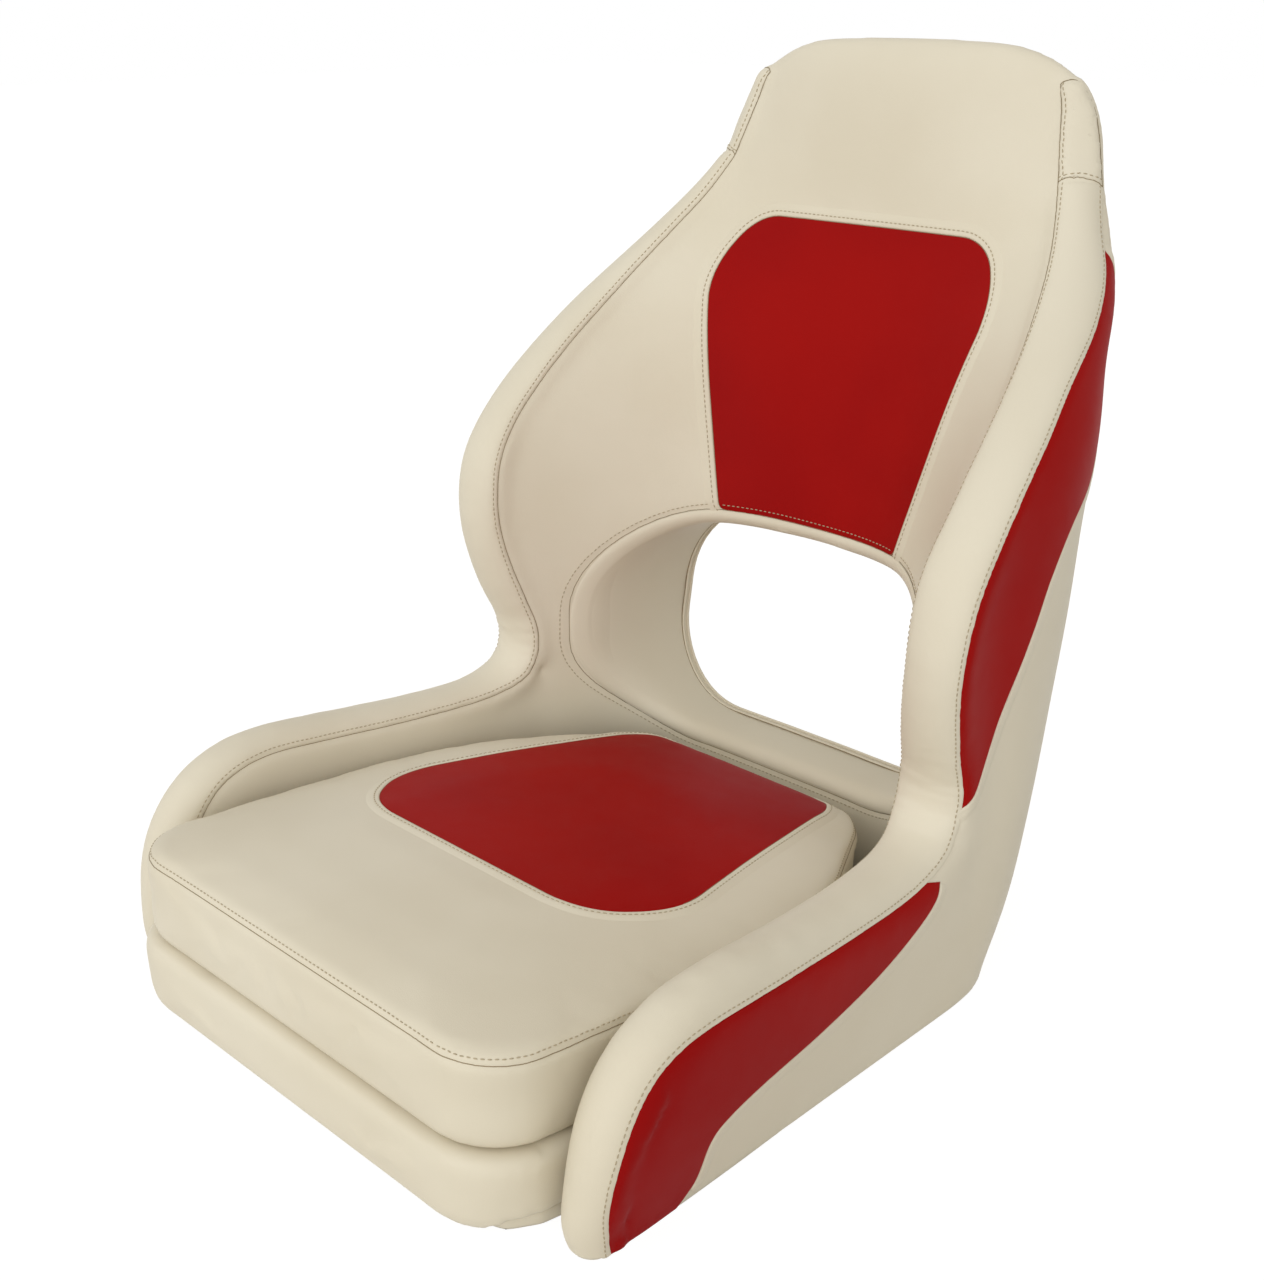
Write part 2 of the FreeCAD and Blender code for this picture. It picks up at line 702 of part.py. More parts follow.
def hinge_arms():
    """Steel arms from the squab board to the pivots, with their wood screws."""
    arms = []
    screws = []
    for side in (-1, 1):
        inner = side * (hinge_half_span - hinge_sheet - pivot_clearance * 2)
        x0 = min(inner, inner - side * hinge_sheet)
        x1 = x0 + hinge_sheet
        profile = [
            (arm_front, board_top(arm_front)),
            (arm_rise, board_top(arm_rise)),
            (hinge_back, hinge_height - ear_half_width),
            (hinge_back, hinge_height + ear_half_width - 2.0),
            (arm_front, board_top(arm_front) + arm_web_height),
        ]
        wire = Part.makePolygon([point(x0, y, z) for y, z in profile + profile[:1]])
        web = Part.Face(wire).extrude(Vector(hinge_sheet, 0, 0))
        eye = rod(x0, hinge_y, hinge_height, ear_half_width, hinge_sheet, (1, 0, 0))
        foot_in = x0 - foot_width if side > 0 else x1
        foot_face = [
            point(foot_in, arm_front, board_top(arm_front)),
            point(foot_in + foot_width, arm_front, board_top(arm_front)),
            point(foot_in + foot_width, arm_foot_end, board_top(arm_foot_end)),
            point(foot_in, arm_foot_end, board_top(arm_foot_end)),
        ]
        wire = Part.makePolygon(foot_face + foot_face[:1])
        foot = Part.Face(wire).extrude(Vector(0, 0, hinge_sheet))
        arm = web.fuse(eye).fuse(foot).removeSplitter()
        hole = rod(x0 - 1, hinge_y, hinge_height, pivot_radius + bush_wall, hinge_sheet + 2, (1, 0, 0))
        arm = arm.cut(hole)
        for setback in ARM_SCREWS:
            x = foot_in + foot_width / 2
            y = front + setback
            z = board_top(setback) + hinge_sheet
            shank = rod(x, y, z - board_thickness - hinge_sheet + 2.0, screw_radius,
                        board_thickness + hinge_sheet - 2.0)
            head = rod(x, y, z, screw_head_radius, screw_head_height)
            screw = shank.fuse(head)
            arm = arm.cut(screw)
            screws.append(screw)
        arms.append(arm)
    return arms, group(screws)


def hinge_fixed():
    """Brackets on the floor of the shell, their screws, pivot bolts, nuts and bushes."""
    brackets = []
    screws = []
    bolts = []
    nuts = []
    bushes = []
    seat = floor_thickness
    for side in (-1, 1):
        outer = side * hinge_half_span
        x0 = min(outer, outer + side * hinge_sheet)
        web = box(x0, x0 + hinge_sheet, hinge_y - ear_half_width, hinge_y + ear_half_width,
                  seat, hinge_height)
        eye = rod(x0, hinge_y, hinge_height, ear_half_width, hinge_sheet, (1, 0, 0))
        foot_x0 = x0 + hinge_sheet if side > 0 else x0 - 24.0
        foot = box(foot_x0, foot_x0 + 24.0, hinge_y - 24.0, hinge_y + 24.0, seat, seat + hinge_sheet)
        bracket = web.fuse(eye).fuse(foot).removeSplitter()
        bracket = bracket.cut(rod(x0 - 1, hinge_y, hinge_height, pivot_radius,
                                  hinge_sheet + 2, (1, 0, 0)))
        for dy in (-15.0, 15.0):
            x = foot_x0 + 12.0
            bracket = bracket.cut(rod(x, hinge_y + dy, seat - 1, screw_radius, hinge_sheet + 2))
            head = rod(x, hinge_y + dy, seat + hinge_sheet, screw_head_radius, screw_head_height)
            shank = rod(x, hinge_y + dy, seat - 8.0, screw_radius, 8.0 + hinge_sheet)
            screws.append(head.fuse(shank))
        brackets.append(bracket)
        arm_far = side * (hinge_half_span - 2 * hinge_sheet - pivot_clearance * 4)
        outside = side * (hinge_half_span + hinge_sheet)
        length = abs(outside - arm_far)
        low = min(outside, arm_far)
        shank = rod(low, hinge_y, hinge_height, pivot_radius, length, (1, 0, 0))
        head_x = outside if side > 0 else outside - head_height
        head = rod(head_x, hinge_y, hinge_height, head_radius, head_height, (1, 0, 0))
        bolts.append(shank.fuse(head))
        nut_x = arm_far - head_height if side > 0 else arm_far
        nuts.append(rod(nut_x, hinge_y, hinge_height, head_radius, head_height, (1, 0, 0)))
        arm_inner = side * (hinge_half_span - hinge_sheet - pivot_clearance * 2)
        bush_x = min(arm_inner, arm_inner - side * hinge_sheet)
        tube = rod(bush_x, hinge_y, hinge_height, pivot_radius + bush_wall, hinge_sheet, (1, 0, 0))
        bore = rod(bush_x - 1, hinge_y, hinge_height, pivot_radius + pivot_clearance,
                   hinge_sheet + 2, (1, 0, 0))
        bushes.append(tube.cut(bore))
    return brackets, group(screws), group(bolts), group(nuts), group(bushes)


def lower_cushion():
    """Fixed lower tier; its front lip covers the front edge of the floor."""
    rear_setback = 372.0
    half = [
        (squab_half_width, -tier_proud), (arm_in_front - side_gap, 98.0),
        (arm_in_middle - side_gap, 180.0), (200.0, 336.0), (191.0, rear_setback),
    ]

    def low(_):
        return 0.5

    def high(setback):
        return squab_base(setback) - soft_gap

    profile = [(0.0, 8.0, 0.0, 0.0), (0.07, 3.5, 0.0, 0.0), (0.2, 1.0, 0.0, 0.0),
               (0.5, 0.5, 0.0, 0.0), (0.84, 0.0, 0.0, 0.0), (0.95, 1.5, 0.0, 0.0),
               (1.0, 5.0, 0.0, 0.0)]
    pad = cushion(half, squab_corner, low, high, profile)
    under = box(-300, 300, front + floor_front_setback - side_gap, front + 700, -1, floor_thickness)
    pad = pad.cut(under)
    recess = plate_size / 2 + side_gap
    depth = floor_thickness + plate_thickness + nut_flange + side_gap
    return pad.cut(box(-recess, recess, -recess, recess, 0, depth))


def floor_hardware():
    """Spreader plate on the floor, the threaded nuts through it and its screws."""
    half = plate_size / 2
    seat = floor_thickness
    plate = box(-half, half, -half, half, seat, seat + plate_thickness)
    plate = plate.makeFillet(12.0, [edge for edge in plate.Edges
                                    if abs(edge.Vertexes[0].Z - edge.Vertexes[-1].Z) > 1.0])
    nuts = []
    for x, y in bolt_places():
        plate = plate.cut(rod(x, y, seat - 1, nut_barrel_radius + pivot_clearance,
                              plate_thickness + 2))
        barrel = rod(x, y, 0.0, nut_barrel_radius, seat + plate_thickness)
        flange = rod(x, y, seat + plate_thickness, nut_flange_radius, nut_flange)
        bore = rod(x, y, -1, bolt_hole_radius, seat + plate_thickness + nut_flange + 2)
        nuts.append(barrel.fuse(flange).cut(bore))
    screws = []
    for x in (-1, 1):
        for y in (-1, 1):
            place = half - 14.0
            plate = plate.cut(rod(x * place, y * place, seat - 1, screw_radius, plate_thickness + 2))
            head = rod(x * place, y * place, seat + plate_thickness, screw_head_radius, nut_flange)
            shank = rod(x * place, y * place, seat - 7.0, screw_radius, 7.0 + plate_thickness)
            screws.append(head.fuse(shank))
    return plate, group(nuts), group(screws)


def build():
    right_band = strip(BAND, band_depth)
    right_gusset = strip(GUSSET, gusset_depth).cut(right_band)
    parts = bucket(right_band, right_gusset)
    parts["wing_band_right"] = right_band
    parts["wing_band_left"] = mirrored(right_band)
    parts["headrest_gusset_right"] = right_gusset
    parts["headrest_gusset_left"] = mirrored(right_gusset)
    parts["lower_cushion"] = lower_cushion()
    parts.update(squab_parts())
    brackets, bracket_screws, bolts, nuts, bushes = hinge_fixed()
    parts["hinge_bracket_left"], parts["hinge_bracket_right"] = brackets
    parts["bracket_screws"] = bracket_screws
    parts["pivot_bolts"] = bolts
    parts["pivot_nuts"] = nuts
    parts["pivot_bushes"] = bushes
    plate, tee_nuts, plate_screws = floor_hardware()
    parts["spreader_plate"] = plate
    parts["tee_nuts"] = tee_nuts
    parts["plate_screws"] = plate_screws
    parts["seat_shell"] = parts["seat_shell"].cut(bracket_screws).cut(plate_screws)
    parts["squab_board"] = parts["squab_board"].cut(parts["arm_screws"])
    return parts


def write(parts):
    os.makedirs("parts", exist_ok=True)
    for name, shape in sorted(parts.items()):
        solids = shape.Solids
        good = shape.isValid()
        volume = round(shape.Volume / 1000.0, 1)
        print(name, len(solids), "solids", volume, "cm3", "valid" if good else "BAD")
        out = solids[0] if len(solids) == 1 else Part.makeCompound(solids)
        out.exportStep("parts/" + name + ".step")


write(build())
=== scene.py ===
"""Looks of the upholstered helm seat: smooth ivory vinyl, red panels, topstitching."""

import bisect
import math

import bmesh
import bpy
from mathutils import Matrix, Vector
from mathutils.bvhtree import BVHTree
from mathutils.kdtree import KDTree
from mathutils.noise import noise


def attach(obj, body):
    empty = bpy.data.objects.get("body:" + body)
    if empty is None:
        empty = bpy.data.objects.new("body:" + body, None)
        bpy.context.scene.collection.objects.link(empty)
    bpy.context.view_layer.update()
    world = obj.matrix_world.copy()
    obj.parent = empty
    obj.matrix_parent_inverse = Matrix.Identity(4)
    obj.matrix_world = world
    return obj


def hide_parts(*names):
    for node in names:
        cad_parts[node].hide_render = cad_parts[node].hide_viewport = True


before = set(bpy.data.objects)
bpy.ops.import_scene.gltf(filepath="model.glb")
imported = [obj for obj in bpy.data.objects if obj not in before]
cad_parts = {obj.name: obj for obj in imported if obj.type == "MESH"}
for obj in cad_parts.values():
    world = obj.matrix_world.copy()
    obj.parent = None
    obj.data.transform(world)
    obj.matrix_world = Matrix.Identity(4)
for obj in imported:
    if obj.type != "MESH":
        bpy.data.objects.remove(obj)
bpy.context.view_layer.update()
MM = 0.001
FRONT = -250.0                # front edge of the squab, behind which setbacks are measured
SIDES = ((-1, "left"), (1, "right"))

# Sizes of the covers and the sewing, millimetres
SKIN_VOXEL = 3.6
SKIN_ROUNDS = 9               # rounds of smoothing after the remesh
PAD_VOXEL = 4.5
PAD_ROUNDS = 2
PAD_CAP = 2.0                 # how far pressure may move a point of a cushion
FLOOR_GAP = 0.2
FOOT_DROP = 10.0              # the bucket's foot is drawn down by this, and pressed flat later
FOOT_REACH = 0.6
FOOT_ROUND = 4.5              # the lower cushion's bottom edge is drawn down over this height
SOLID_WELD = 0.02             # points nearer than this are one, in solids, sheets and lofts
SHEET_WELD = 0.05
LOFT_WELD = 0.01
SEAM_DEPTH = 0.8              # how far a seam draws the foam in, and how wide that reaches
SEAM_WIDTH = 2.2
BOXING_WIDTH = 2.4
PANEL_RISE = 0.8              # how far a panel stands proud away from its seams
SHELL_COVER = 0.7             # least thickness of cover over the moulded shell
COVER_LIFTS = (1.4, 1.0, 0.6)  # how much more than that before each round of smoothing
COVER_REACH = 9.0             # and how near to the shell it is looked after
EDGE_STEPS = (0.0, 0.15, 0.35, 0.6, 1.0, 1.6, 2.4, 3.2, 4.2, 5.4, 7.0, 9.0)
STITCH_STEP = 8               # the step on which the stitches lie
PANEL_LIFT = 0.65             # red panels lie this far over the foam
SIDE_LIFT = 0.9               # those on the wings and arms a little further
TIP_SINK = 0.45               # but less by this at their tips at the waist
PANEL_TUCK = 0.8              # how far a panel runs on under its border
LIP_RISE = 1.35               # turned edges lie this far over the foam
LIP_SUNK = 0.3                # and end this far in it
LIP_FADE = 5.0                # the open ends of a turned edge sink in over this length
LIP_SETTLE = 6.5              # and its far side over this width
STITCH_PITCH = 4.2
STITCH_INSET = 4.2            # row of stitches from its edge
THREAD = 0.48                 # radius of a stitch
SEAM_SHADOW = 0.3               # radii of the dark lines of painted shadow in seams and at turned edges
PANEL_SHADOW = 0.22
SIDE_SHADOW = 0.2
PIPING_SHADOW = 0.45
# the lines of painted shadow lie this far in from a red panel's edge
SHADOW_INSET = 0.1
WINDOW_ROLL = 13.0            # seam round the window, from its edge
ROLL_REACH = 20.0             # the edge of the window is smoothed as far as this
ROLL_ROUNDS = 14
RING_WIDTH = 12.0
PIPING = 1.3

# Numbers of spots, rows and rings
SEAM_SPOTS = 900
OUTLINE_SPOTS = 420
BAND_ROWS = 460
GUSSET_ROWS = 70
SECTION_SPOTS = 49
PANEL_RINGS = 26
SIDE_ROWS = 190
SIDE_COLUMNS = 37
TIP_ROWS = 14                 # rows over which the tip of a side panel is let down
SIDE_EDGE_SPOTS = 260
BOXING_SPOTS = 1200

# Wing band from the cross seam at the headrest to the floor: half-width, setback and height
# of its inner seam, then of its outer seam, and its crown.
BAND = [
    (155.0, 606.0, 563.0, 178.0, 630.0, 560.0, 8.5),
    (166.0, 586.0, 535.0, 191.5, 612.0, 533.0, 9.5),
    (178.0, 560.0, 508.0, 210.5, 590.0, 506.0, 9.5),
    (189.0, 527.0, 478.0, 228.5, 553.0, 477.0, 8.5),
    (198.0, 491.0, 446.0, 241.5, 502.4, 443.6, 8.0),
    (204.0, 460.0, 419.0, 249.0, 469.2, 416.5, 9.0),
    (208.0, 430.0, 391.0, 254.5, 436.0, 388.0, 9.5),
    (210.0, 403.0, 362.0, 257.8, 408.0, 358.5, 10.0),
    (209.0, 384.0, 332.0, 258.5, 387.2, 328.0, 11.0),
    (208.0, 378.0, 300.0, 257.0, 378.5, 299.0, 12.0),
    (206.0, 379.0, 270.0, 254.5, 377.5, 270.0, 13.0),
    (201.0, 385.0, 240.0, 251.0, 383.0, 240.5, 13.5),
    (195.0, 395.0, 208.0, 247.0, 394.0, 206.0, 12.0),
    (190.0, 403.0, 180.0, 243.5, 406.0, 174.0, 10.0),
    (188.5, 401.0, 156.0, 243.5, 402.5, 148.0, 10.0),
    (191.0, 390.0, 139.0, 246.5, 388.0, 133.0, 11.0),
    (197.0, 367.0, 130.0, 249.0, 362.0, 124.5, 11.0),
    (203.0, 330.0, 127.0, 252.5, 323.0, 122.0, 12.0),
    (211.0, 264.0, 129.0, 257.5, 256.0, 125.0, 14.0),
    (217.0, 200.0, 134.0, 261.5, 189.0, 129.0, 17.0),
    (220.0, 145.0, 138.0, 262.5, 130.5, 130.5, 17.5),
    (219.0, 108.0, 131.0, 261.5, 96.0, 124.5, 16.0),
    (217.0, 84.0, 113.0, 260.0, 72.0, 107.5, 16.5),
    (216.0, 64.0, 80.0, 259.0, 55.0, 78.0, 17.0),
    (216.0, 54.0, 40.0, 255.0, 47.0, 39.0, 16.0),
    (217.0, 58.0, 1.0, 250.0, 53.0, 1.0, 16.0),
]
GUSSET = [
    (155.0, 606.0, 563.5, 178.0, 630.0, 560.5, 6.0),
    (148.0, 615.0, 590.0, 171.0, 634.0, 589.0, 6.0),
    (142.0, 624.0, 615.0, 161.0, 638.0, 614.5, 6.0),
    (137.0, 627.0, 631.0, 151.0, 633.0, 631.0, 5.0),
]

# Outlines of the red panels: half-width and height, half-width and setback, setback and height
BACK_PANEL = [(-90.0, 283.0), (90.0, 283.0), (137.0, 476.0), (112.0, 520.0), (-112.0, 520.0),
              (-137.0, 476.0)]
SEAT_PANEL = [(-96.0, 466.0), (96.0, 466.0), (150.0, 215.0), (112.0, 160.0), (-112.0, 160.0),
              (-150.0, 215.0)]
UPPER_REAR = [(398.0, 158.0), (410.0, 165.0), (420.0, 174.0), (434.0, 200.0), (446.0, 240.0),
              (460.0, 284.0), (474.0, 320.0), (500.0, 352.0), (545.0, 380.0), (582.0, 420.0),
              (602.0, 455.0), (611.0, 485.0), (609.0, 508.0), (603.0, 521.5)]
LOWER_REAR = [(374.0, 120.0), (366.0, 108.0), (340.0, 95.0), (296.0, 81.0), (238.0, 69.0),
              (180.0, 60.0), (146.0, 51.0), (132.0, 40.0), (124.0, 14.0), (110.0, 1.0)]
# Right half of the squab's plan, and its heights at the front and how they fall to the rear
SQUAB_LENGTH = 479.0
SQUAB_HALF = [(199.0, 1.0), (209.0, 150.0), (205.0, 262.0), (188.0, 340.0),
              (113.0, SQUAB_LENGTH)]
SQUAB_RADIUS = 46.0
SQUAB_TOP = 128.0
SQUAB_TOP_FALL = 38.0
SQUAB_BASE = 56.4
SQUAB_BASE_FALL = 22.4


def place(x, setback, z):
    return Vector((x, FRONT + setback, z)) * MM


def length_of(points):
    return sum((b - a).length for a, b in zip(points, points[1:]))


def along(dense, wanted):
    """Spots at given distances along a line."""
    lengths = [0.0]
    for a, b in zip(dense, dense[1:]):
        lengths.append(lengths[-1] + (b - a).length)
    out = []
    for want in wanted:
        i = min(max(bisect.bisect_right(lengths, want) - 1, 0), len(dense) - 2)
        step = lengths[i + 1] - lengths[i]
        share = (want - lengths[i]) / step if step > 0 else 0.0
        out.append(dense[i].lerp(dense[i + 1], min(max(share, 0.0), 1.0)))
    return out


def even(dense, count):
    """Spots at even distances along a line."""
    total = length_of(dense)
    return along(dense, [total * k / (count - 1) for k in range(count)])


def spread(points, count):
    """Even spots on a smooth curve through the given ones."""
    dense = []
    last = len(points) - 1
    for i in range(last):
        p0 = points[max(i - 1, 0)]
        p1 = points[i]
        p2 = points[i + 1]
        p3 = points[min(i + 2, last)]
        for k in range(12):
            t = k / 12.0
            dense.append(0.5 * (2 * p1 + (p2 - p0) * t + (2 * p0 - 5 * p1 + 4 * p2 - p3) * t * t
                                + (3 * p1 - p0 - 3 * p2 + p3) * t * t * t))
    dense.append(points[-1])
    return even(dense, count)


def rounded(corners, radii, count):
    """Even spots round a closed flat outline with rounded corners, anticlockwise."""
    points = [Vector(c) for c in corners]
    if not isinstance(radii, list):
        radii = [radii] * len(points)
    dense = []
    total = len(points)
    for i in range(total):
        here = points[i]
        back = points[i - 1] - here
        ahead = points[(i + 1) % total] - here
        reach = min(radii[i], back.length * 0.47, ahead.length * 0.47)
        start = here + back.normalized() * reach
        end = here + ahead.normalized() * reach
        pull = math.sin(back.angle(ahead) / 2)
        for k in range(13):
            t = k / 12.0
            weights = ((1 - t) ** 2, 2 * pull * t * (1 - t), t * t)
            spot = start * weights[0] + here * weights[1] + end * weights[2]
            dense.append(spot / sum(weights))
    dense.append(dense[0].copy())
    area = sum(a.x * b.y - b.x * a.y for a, b in zip(dense, dense[1:]))
    if area < 0:
        dense.reverse()
    return even(dense, count + 1)[:-1]


def grown(outline, distance, closed):
    """Flat line moved to its right, which is outwards for an anticlockwise outline."""
    count = len(outline)
    moved = []
    for i, spot in enumerate(outline):
        if closed:
            run = outline[(i + 1) % count] - outline[i - 1]
        else:
            run = outline[min(i + 1, count - 1)] - outline[max(i - 1, 0)]
        run.normalize()
        moved.append(spot + Vector((run.y, -run.x)) * distance)
    return moved


def open_run(outline, keep):
    """The unbroken stretch of a closed outline whose spots are kept."""
    count = len(outline)
    start = next(i for i in range(count) if keep(outline[i]) and not keep(outline[i - 1]))
    run = []
    for k in range(count):
        spot = outline[(start + k) % count]
        if not keep(spot):
            break
        run.append(spot)
    return run


# Shader expressions

class Wire:
    """A socket that takes part in Python arithmetic."""

    def __init__(self, tree, socket):
        self.tree = tree
        self.socket = socket

    def _maths(self, operation, *values):
        return node(self.tree, "ShaderNodeMath", {"operation": operation}, values)

    def __add__(self, other):
        return self._maths("ADD", self, other)

    __radd__ = __add__

    def __mul__(self, other):
        return self._maths("MULTIPLY", self, other)

    __rmul__ = __mul__

    def above(self, low, high):
        """0 at low, 1 at high, smooth between."""
        return node(self.tree, "ShaderNodeMapRange", {"interpolation_type": "SMOOTHSTEP"},
                    (self, low, high, 0.0, 1.0))


def node(tree, kind, settings=None, values=(), output=0):
    """Any node: settings first, then the values or links of its sockets."""
    made = tree.nodes.new(kind)
    for key, value in (settings or {}).items():
        setattr(made, key, value)
    pairs = values.items() if isinstance(values, dict) else enumerate(values)
    for key, value in pairs:
        if isinstance(value, Wire):
            tree.links.new(value.socket, made.inputs[key])
        else:
            made.inputs[key].default_value = value
    return Wire(tree, made.outputs[output])


def to_output(tree, kind, shader):
    end = tree.nodes.new(kind)
    tree.links.new(shader.socket, end.inputs[0])


def blank_tree(owner):
    owner.use_nodes = True
    owner.node_tree.nodes.clear()
    return owner.node_tree


def material(name, build):
    made = bpy.data.materials.new(name)
    tree = blank_tree(made)
    where = node(tree, "ShaderNodeTexCoord", output=3)
    shader = node(tree, "ShaderNodeBsdfPrincipled", {}, build(tree, where))
    to_output(tree, "ShaderNodeOutputMaterial", shader)
    return made


def clouds(tree, where, scale, detail=2.0, rough=0.5):
    return node(tree, "ShaderNodeTexNoise", {}, {"Vector": where, "Scale": scale,
                                                 "Detail": detail, "Roughness": rough})


def mix_colour(tree, share, one, two):
    return node(tree, "ShaderNodeMix", {"data_type": "RGBA"}, {0: share, 6: one, 7: two}, 2)


def bumps(tree, height, strength, distance):
    return node(tree, "ShaderNodeBump", {}, {"Strength": strength, "Distance": distance,
                                             "Height": height})


def vinyl(light, deep, rough, grain, gloss):
    """Smooth coated cloth: faint clouding of colour, fine pebbled grain."""
    def build(tree, where):
        drift = clouds(tree, where, 5.0, 3.0).above(0.35, 0.68)
        cells = node(tree, "ShaderNodeTexVoronoi", {"feature": "DISTANCE_TO_EDGE"},
                     {"Vector": where, "Scale": 950.0})
        pebble = cells.above(0.0, 0.22)
        fine = clouds(tree, where, 420.0, 4.0, 0.6)
        waves = clouds(tree, where, 34.0, 2.0)
        height = pebble * 0.00005 + fine * 0.00008 + waves * 0.00035
        return {
            "Base Color": mix_colour(tree, drift, light, deep),
            "Roughness": clouds(tree, where, 60.0, 3.0) * 0.1 + (rough - 0.05),
            "Normal": bumps(tree, height, grain, 1.0),
            "Specular IOR Level": gloss,
        }
    return build


IVORY = material("ivory_vinyl", vinyl((0.74, 0.68, 0.55, 1), (0.70, 0.635, 0.50, 1), 0.5, 0.5,
                                      0.3))
RED = material("red_vinyl", vinyl((0.34, 0.004, 0.003, 1), (0.30, 0.003, 0.003, 1), 0.52, 0.5,
                                  0.055))


def speckled(scale, detail, one, two, rough, drift=0.0, relief=0.0):
    """Two shades in fine clouds, which may make the surface rougher and stand out from it."""
    def build(tree, where):
        fine = clouds(tree, where, scale, detail)
        looks = {"Base Color": mix_colour(tree, fine, one, two), "Roughness": rough}
        if drift:
            looks["Roughness"] = fine * drift + rough
        if relief:
            looks["Normal"] = bumps(tree, fine, 0.5, relief)
        return looks
    return build


def ply_look(tree, where):
    turned = node(tree, "ShaderNodeMapping", {}, {"Vector": where, "Scale": (60.0, 3.0, 60.0)})
    grain = clouds(tree, turned, 3.0, 6.0, 0.65)
    sawn = mix_colour(tree, grain.above(0.3, 0.7), (0.52, 0.36, 0.2, 1), (0.33, 0.2, 0.1, 1))
    return {"Base Color": sawn, "Roughness": grain * 0.2 + 0.5}


def metal_look(colour, rough, stretch):
    def build(tree, where):
        turned = node(tree, "ShaderNodeMapping", {}, {"Vector": where, "Scale": stretch})
        lines = clouds(tree, turned, 40.0, 4.0, 0.6)
        return {"Base Color": colour, "Metallic": 1.0, "Roughness": lines * 0.2 + (rough - 0.1),
                "Normal": bumps(tree, lines, 0.25, 0.0002)}
    return build


THREAD_LOOK = material("beige_thread", speckled(
    900.0, 2.0, (0.36, 0.29, 0.18, 1), (0.52, 0.44, 0.30, 1), 0.75, relief=0.0002))
# Dark brown of the lines laid in seams and along turned edges: painted shadow of their creases
SEAM_SHADE_LOOK = material("seam_shade", speckled(
    300.0, 2.0, (0.25, 0.19, 0.11, 1), (0.34, 0.27, 0.17, 1), 0.9))
SHELL = material("moulded_shell", speckled(
    700.0, 3.0, (0.03, 0.03, 0.032, 1), (0.05, 0.05, 0.052, 1), 0.45, 0.15, 0.0003))
PLY = material("marine_ply", ply_look)
PLATE = material("aluminium_plate", metal_look((0.78, 0.79, 0.80, 1), 0.42, (1.0, 30.0, 30.0)))
STEEL = material("zinc_steel", metal_look((0.62, 0.62, 0.60, 1), 0.34, (10.0, 10.0, 10.0)))
NYLON = material("white_nylon", speckled(
    500.0, 2.0, (0.8, 0.79, 0.75, 1), (0.74, 0.73, 0.69, 1), 0.5))

HARD = {
    "seat_shell": SHELL, "spreader_plate": PLATE, "tee_nuts": STEEL, "plate_screws": STEEL,
    "hinge_bracket_left": STEEL, "hinge_bracket_right": STEEL, "bracket_screws": STEEL,
    "pivot_bolts": STEEL, "pivot_nuts": STEEL, "squab_board": PLY, "hinge_arm_left": STEEL,
    "hinge_arm_right": STEEL, "arm_screws": STEEL, "pivot_bushes": NYLON,
}
for name, look in HARD.items():
    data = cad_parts[name].data
    data.materials.clear()
    data.materials.append(look)


# Meshes

def linked(name, data):
    """New object in the scene."""
    piece = bpy.data.objects.new(name, data)
    bpy.context.scene.collection.objects.link(piece)
    return piece


def new_piece(name, mesh, look, body="root"):
    mesh.materials.clear()
    mesh.materials.append(look)
    for face in mesh.polygons:
        face.use_smooth = True
    piece = linked(name, mesh)
    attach(piece, body)
    return piece


def mesh_from(bm, name):
    mesh = bpy.data.meshes.new(name)
    bm.to_mesh(mesh)
    bm.free()
    return mesh


def baked(piece):
    """Mesh of an object with its modifiers applied, in place of the object."""
    graph = bpy.context.evaluated_depsgraph_get()
    mesh = bpy.data.meshes.new_from_object(piece.evaluated_get(graph))
    bpy.data.objects.remove(piece)
    return mesh


def reopened(mesh):
    """The same points and faces to work on, in place of the mesh."""
    bm = bmesh.new()
    bm.from_mesh(mesh)
    bpy.data.meshes.remove(mesh)
    return bm


def tree_from(*meshes):
    bm = bmesh.new()
    for mesh in meshes:
        bm.from_mesh(mesh)
    made = BVHTree.FromBMesh(bm)
    bm.free()
    return made


def tree_of(names):
    return tree_from(*[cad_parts[name].data for name in names])


def smoothed(bm, verts, rounds):
    for _ in range(rounds):
        bmesh.ops.smooth_vert(bm, verts=verts, factor=0.5, use_axis_x=True, use_axis_y=True,
                              use_axis_z=True)


def keep_over(bm, tree, gap):
    """Lifts a surface wherever it comes nearer to a hard part than its cover is thick."""
    bm.normal_update()
    lifts = []
    for vert in bm.verts:
        spot, _, _, away = tree.find_nearest(vert.co)
        height = (vert.co - spot).dot(vert.normal)
        if away < COVER_REACH * MM and height < gap * MM:
            lifts.append((vert, vert.normal * (gap * MM - height)))
    for vert, lift in lifts:
        vert.co += lift


def remeshed(names, voxel, rounds, drop):
    """One smooth closed skin round several CAD nodes, drawn down where they stand."""
    bm = bmesh.new()
    for name in names:
        part = bmesh.new()
        part.from_mesh(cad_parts[name].data)
        bmesh.ops.remove_doubles(part, verts=part.verts, dist=SOLID_WELD * MM)
        for vert in part.verts:
            if vert.co.z < FOOT_REACH * MM:
                vert.co.z -= drop * MM
        mesh = mesh_from(part, "part")
        bm.from_mesh(mesh)
        bpy.data.meshes.remove(mesh)
    rough = linked("rough", mesh_from(bm, "rough"))
    remesh = rough.modifiers.new("voxels", "REMESH")
    remesh.mode = "VOXEL"
    remesh.voxel_size = voxel * MM
    bm = reopened(baked(rough))
    smoothed(bm, bm.verts, rounds)
    return bm


def pressed(bm):
    """Presses what lies below the floor flat onto it."""
    for vert in bm.verts:
        vert.co.z = max(vert.co.z, FLOOR_GAP * MM)


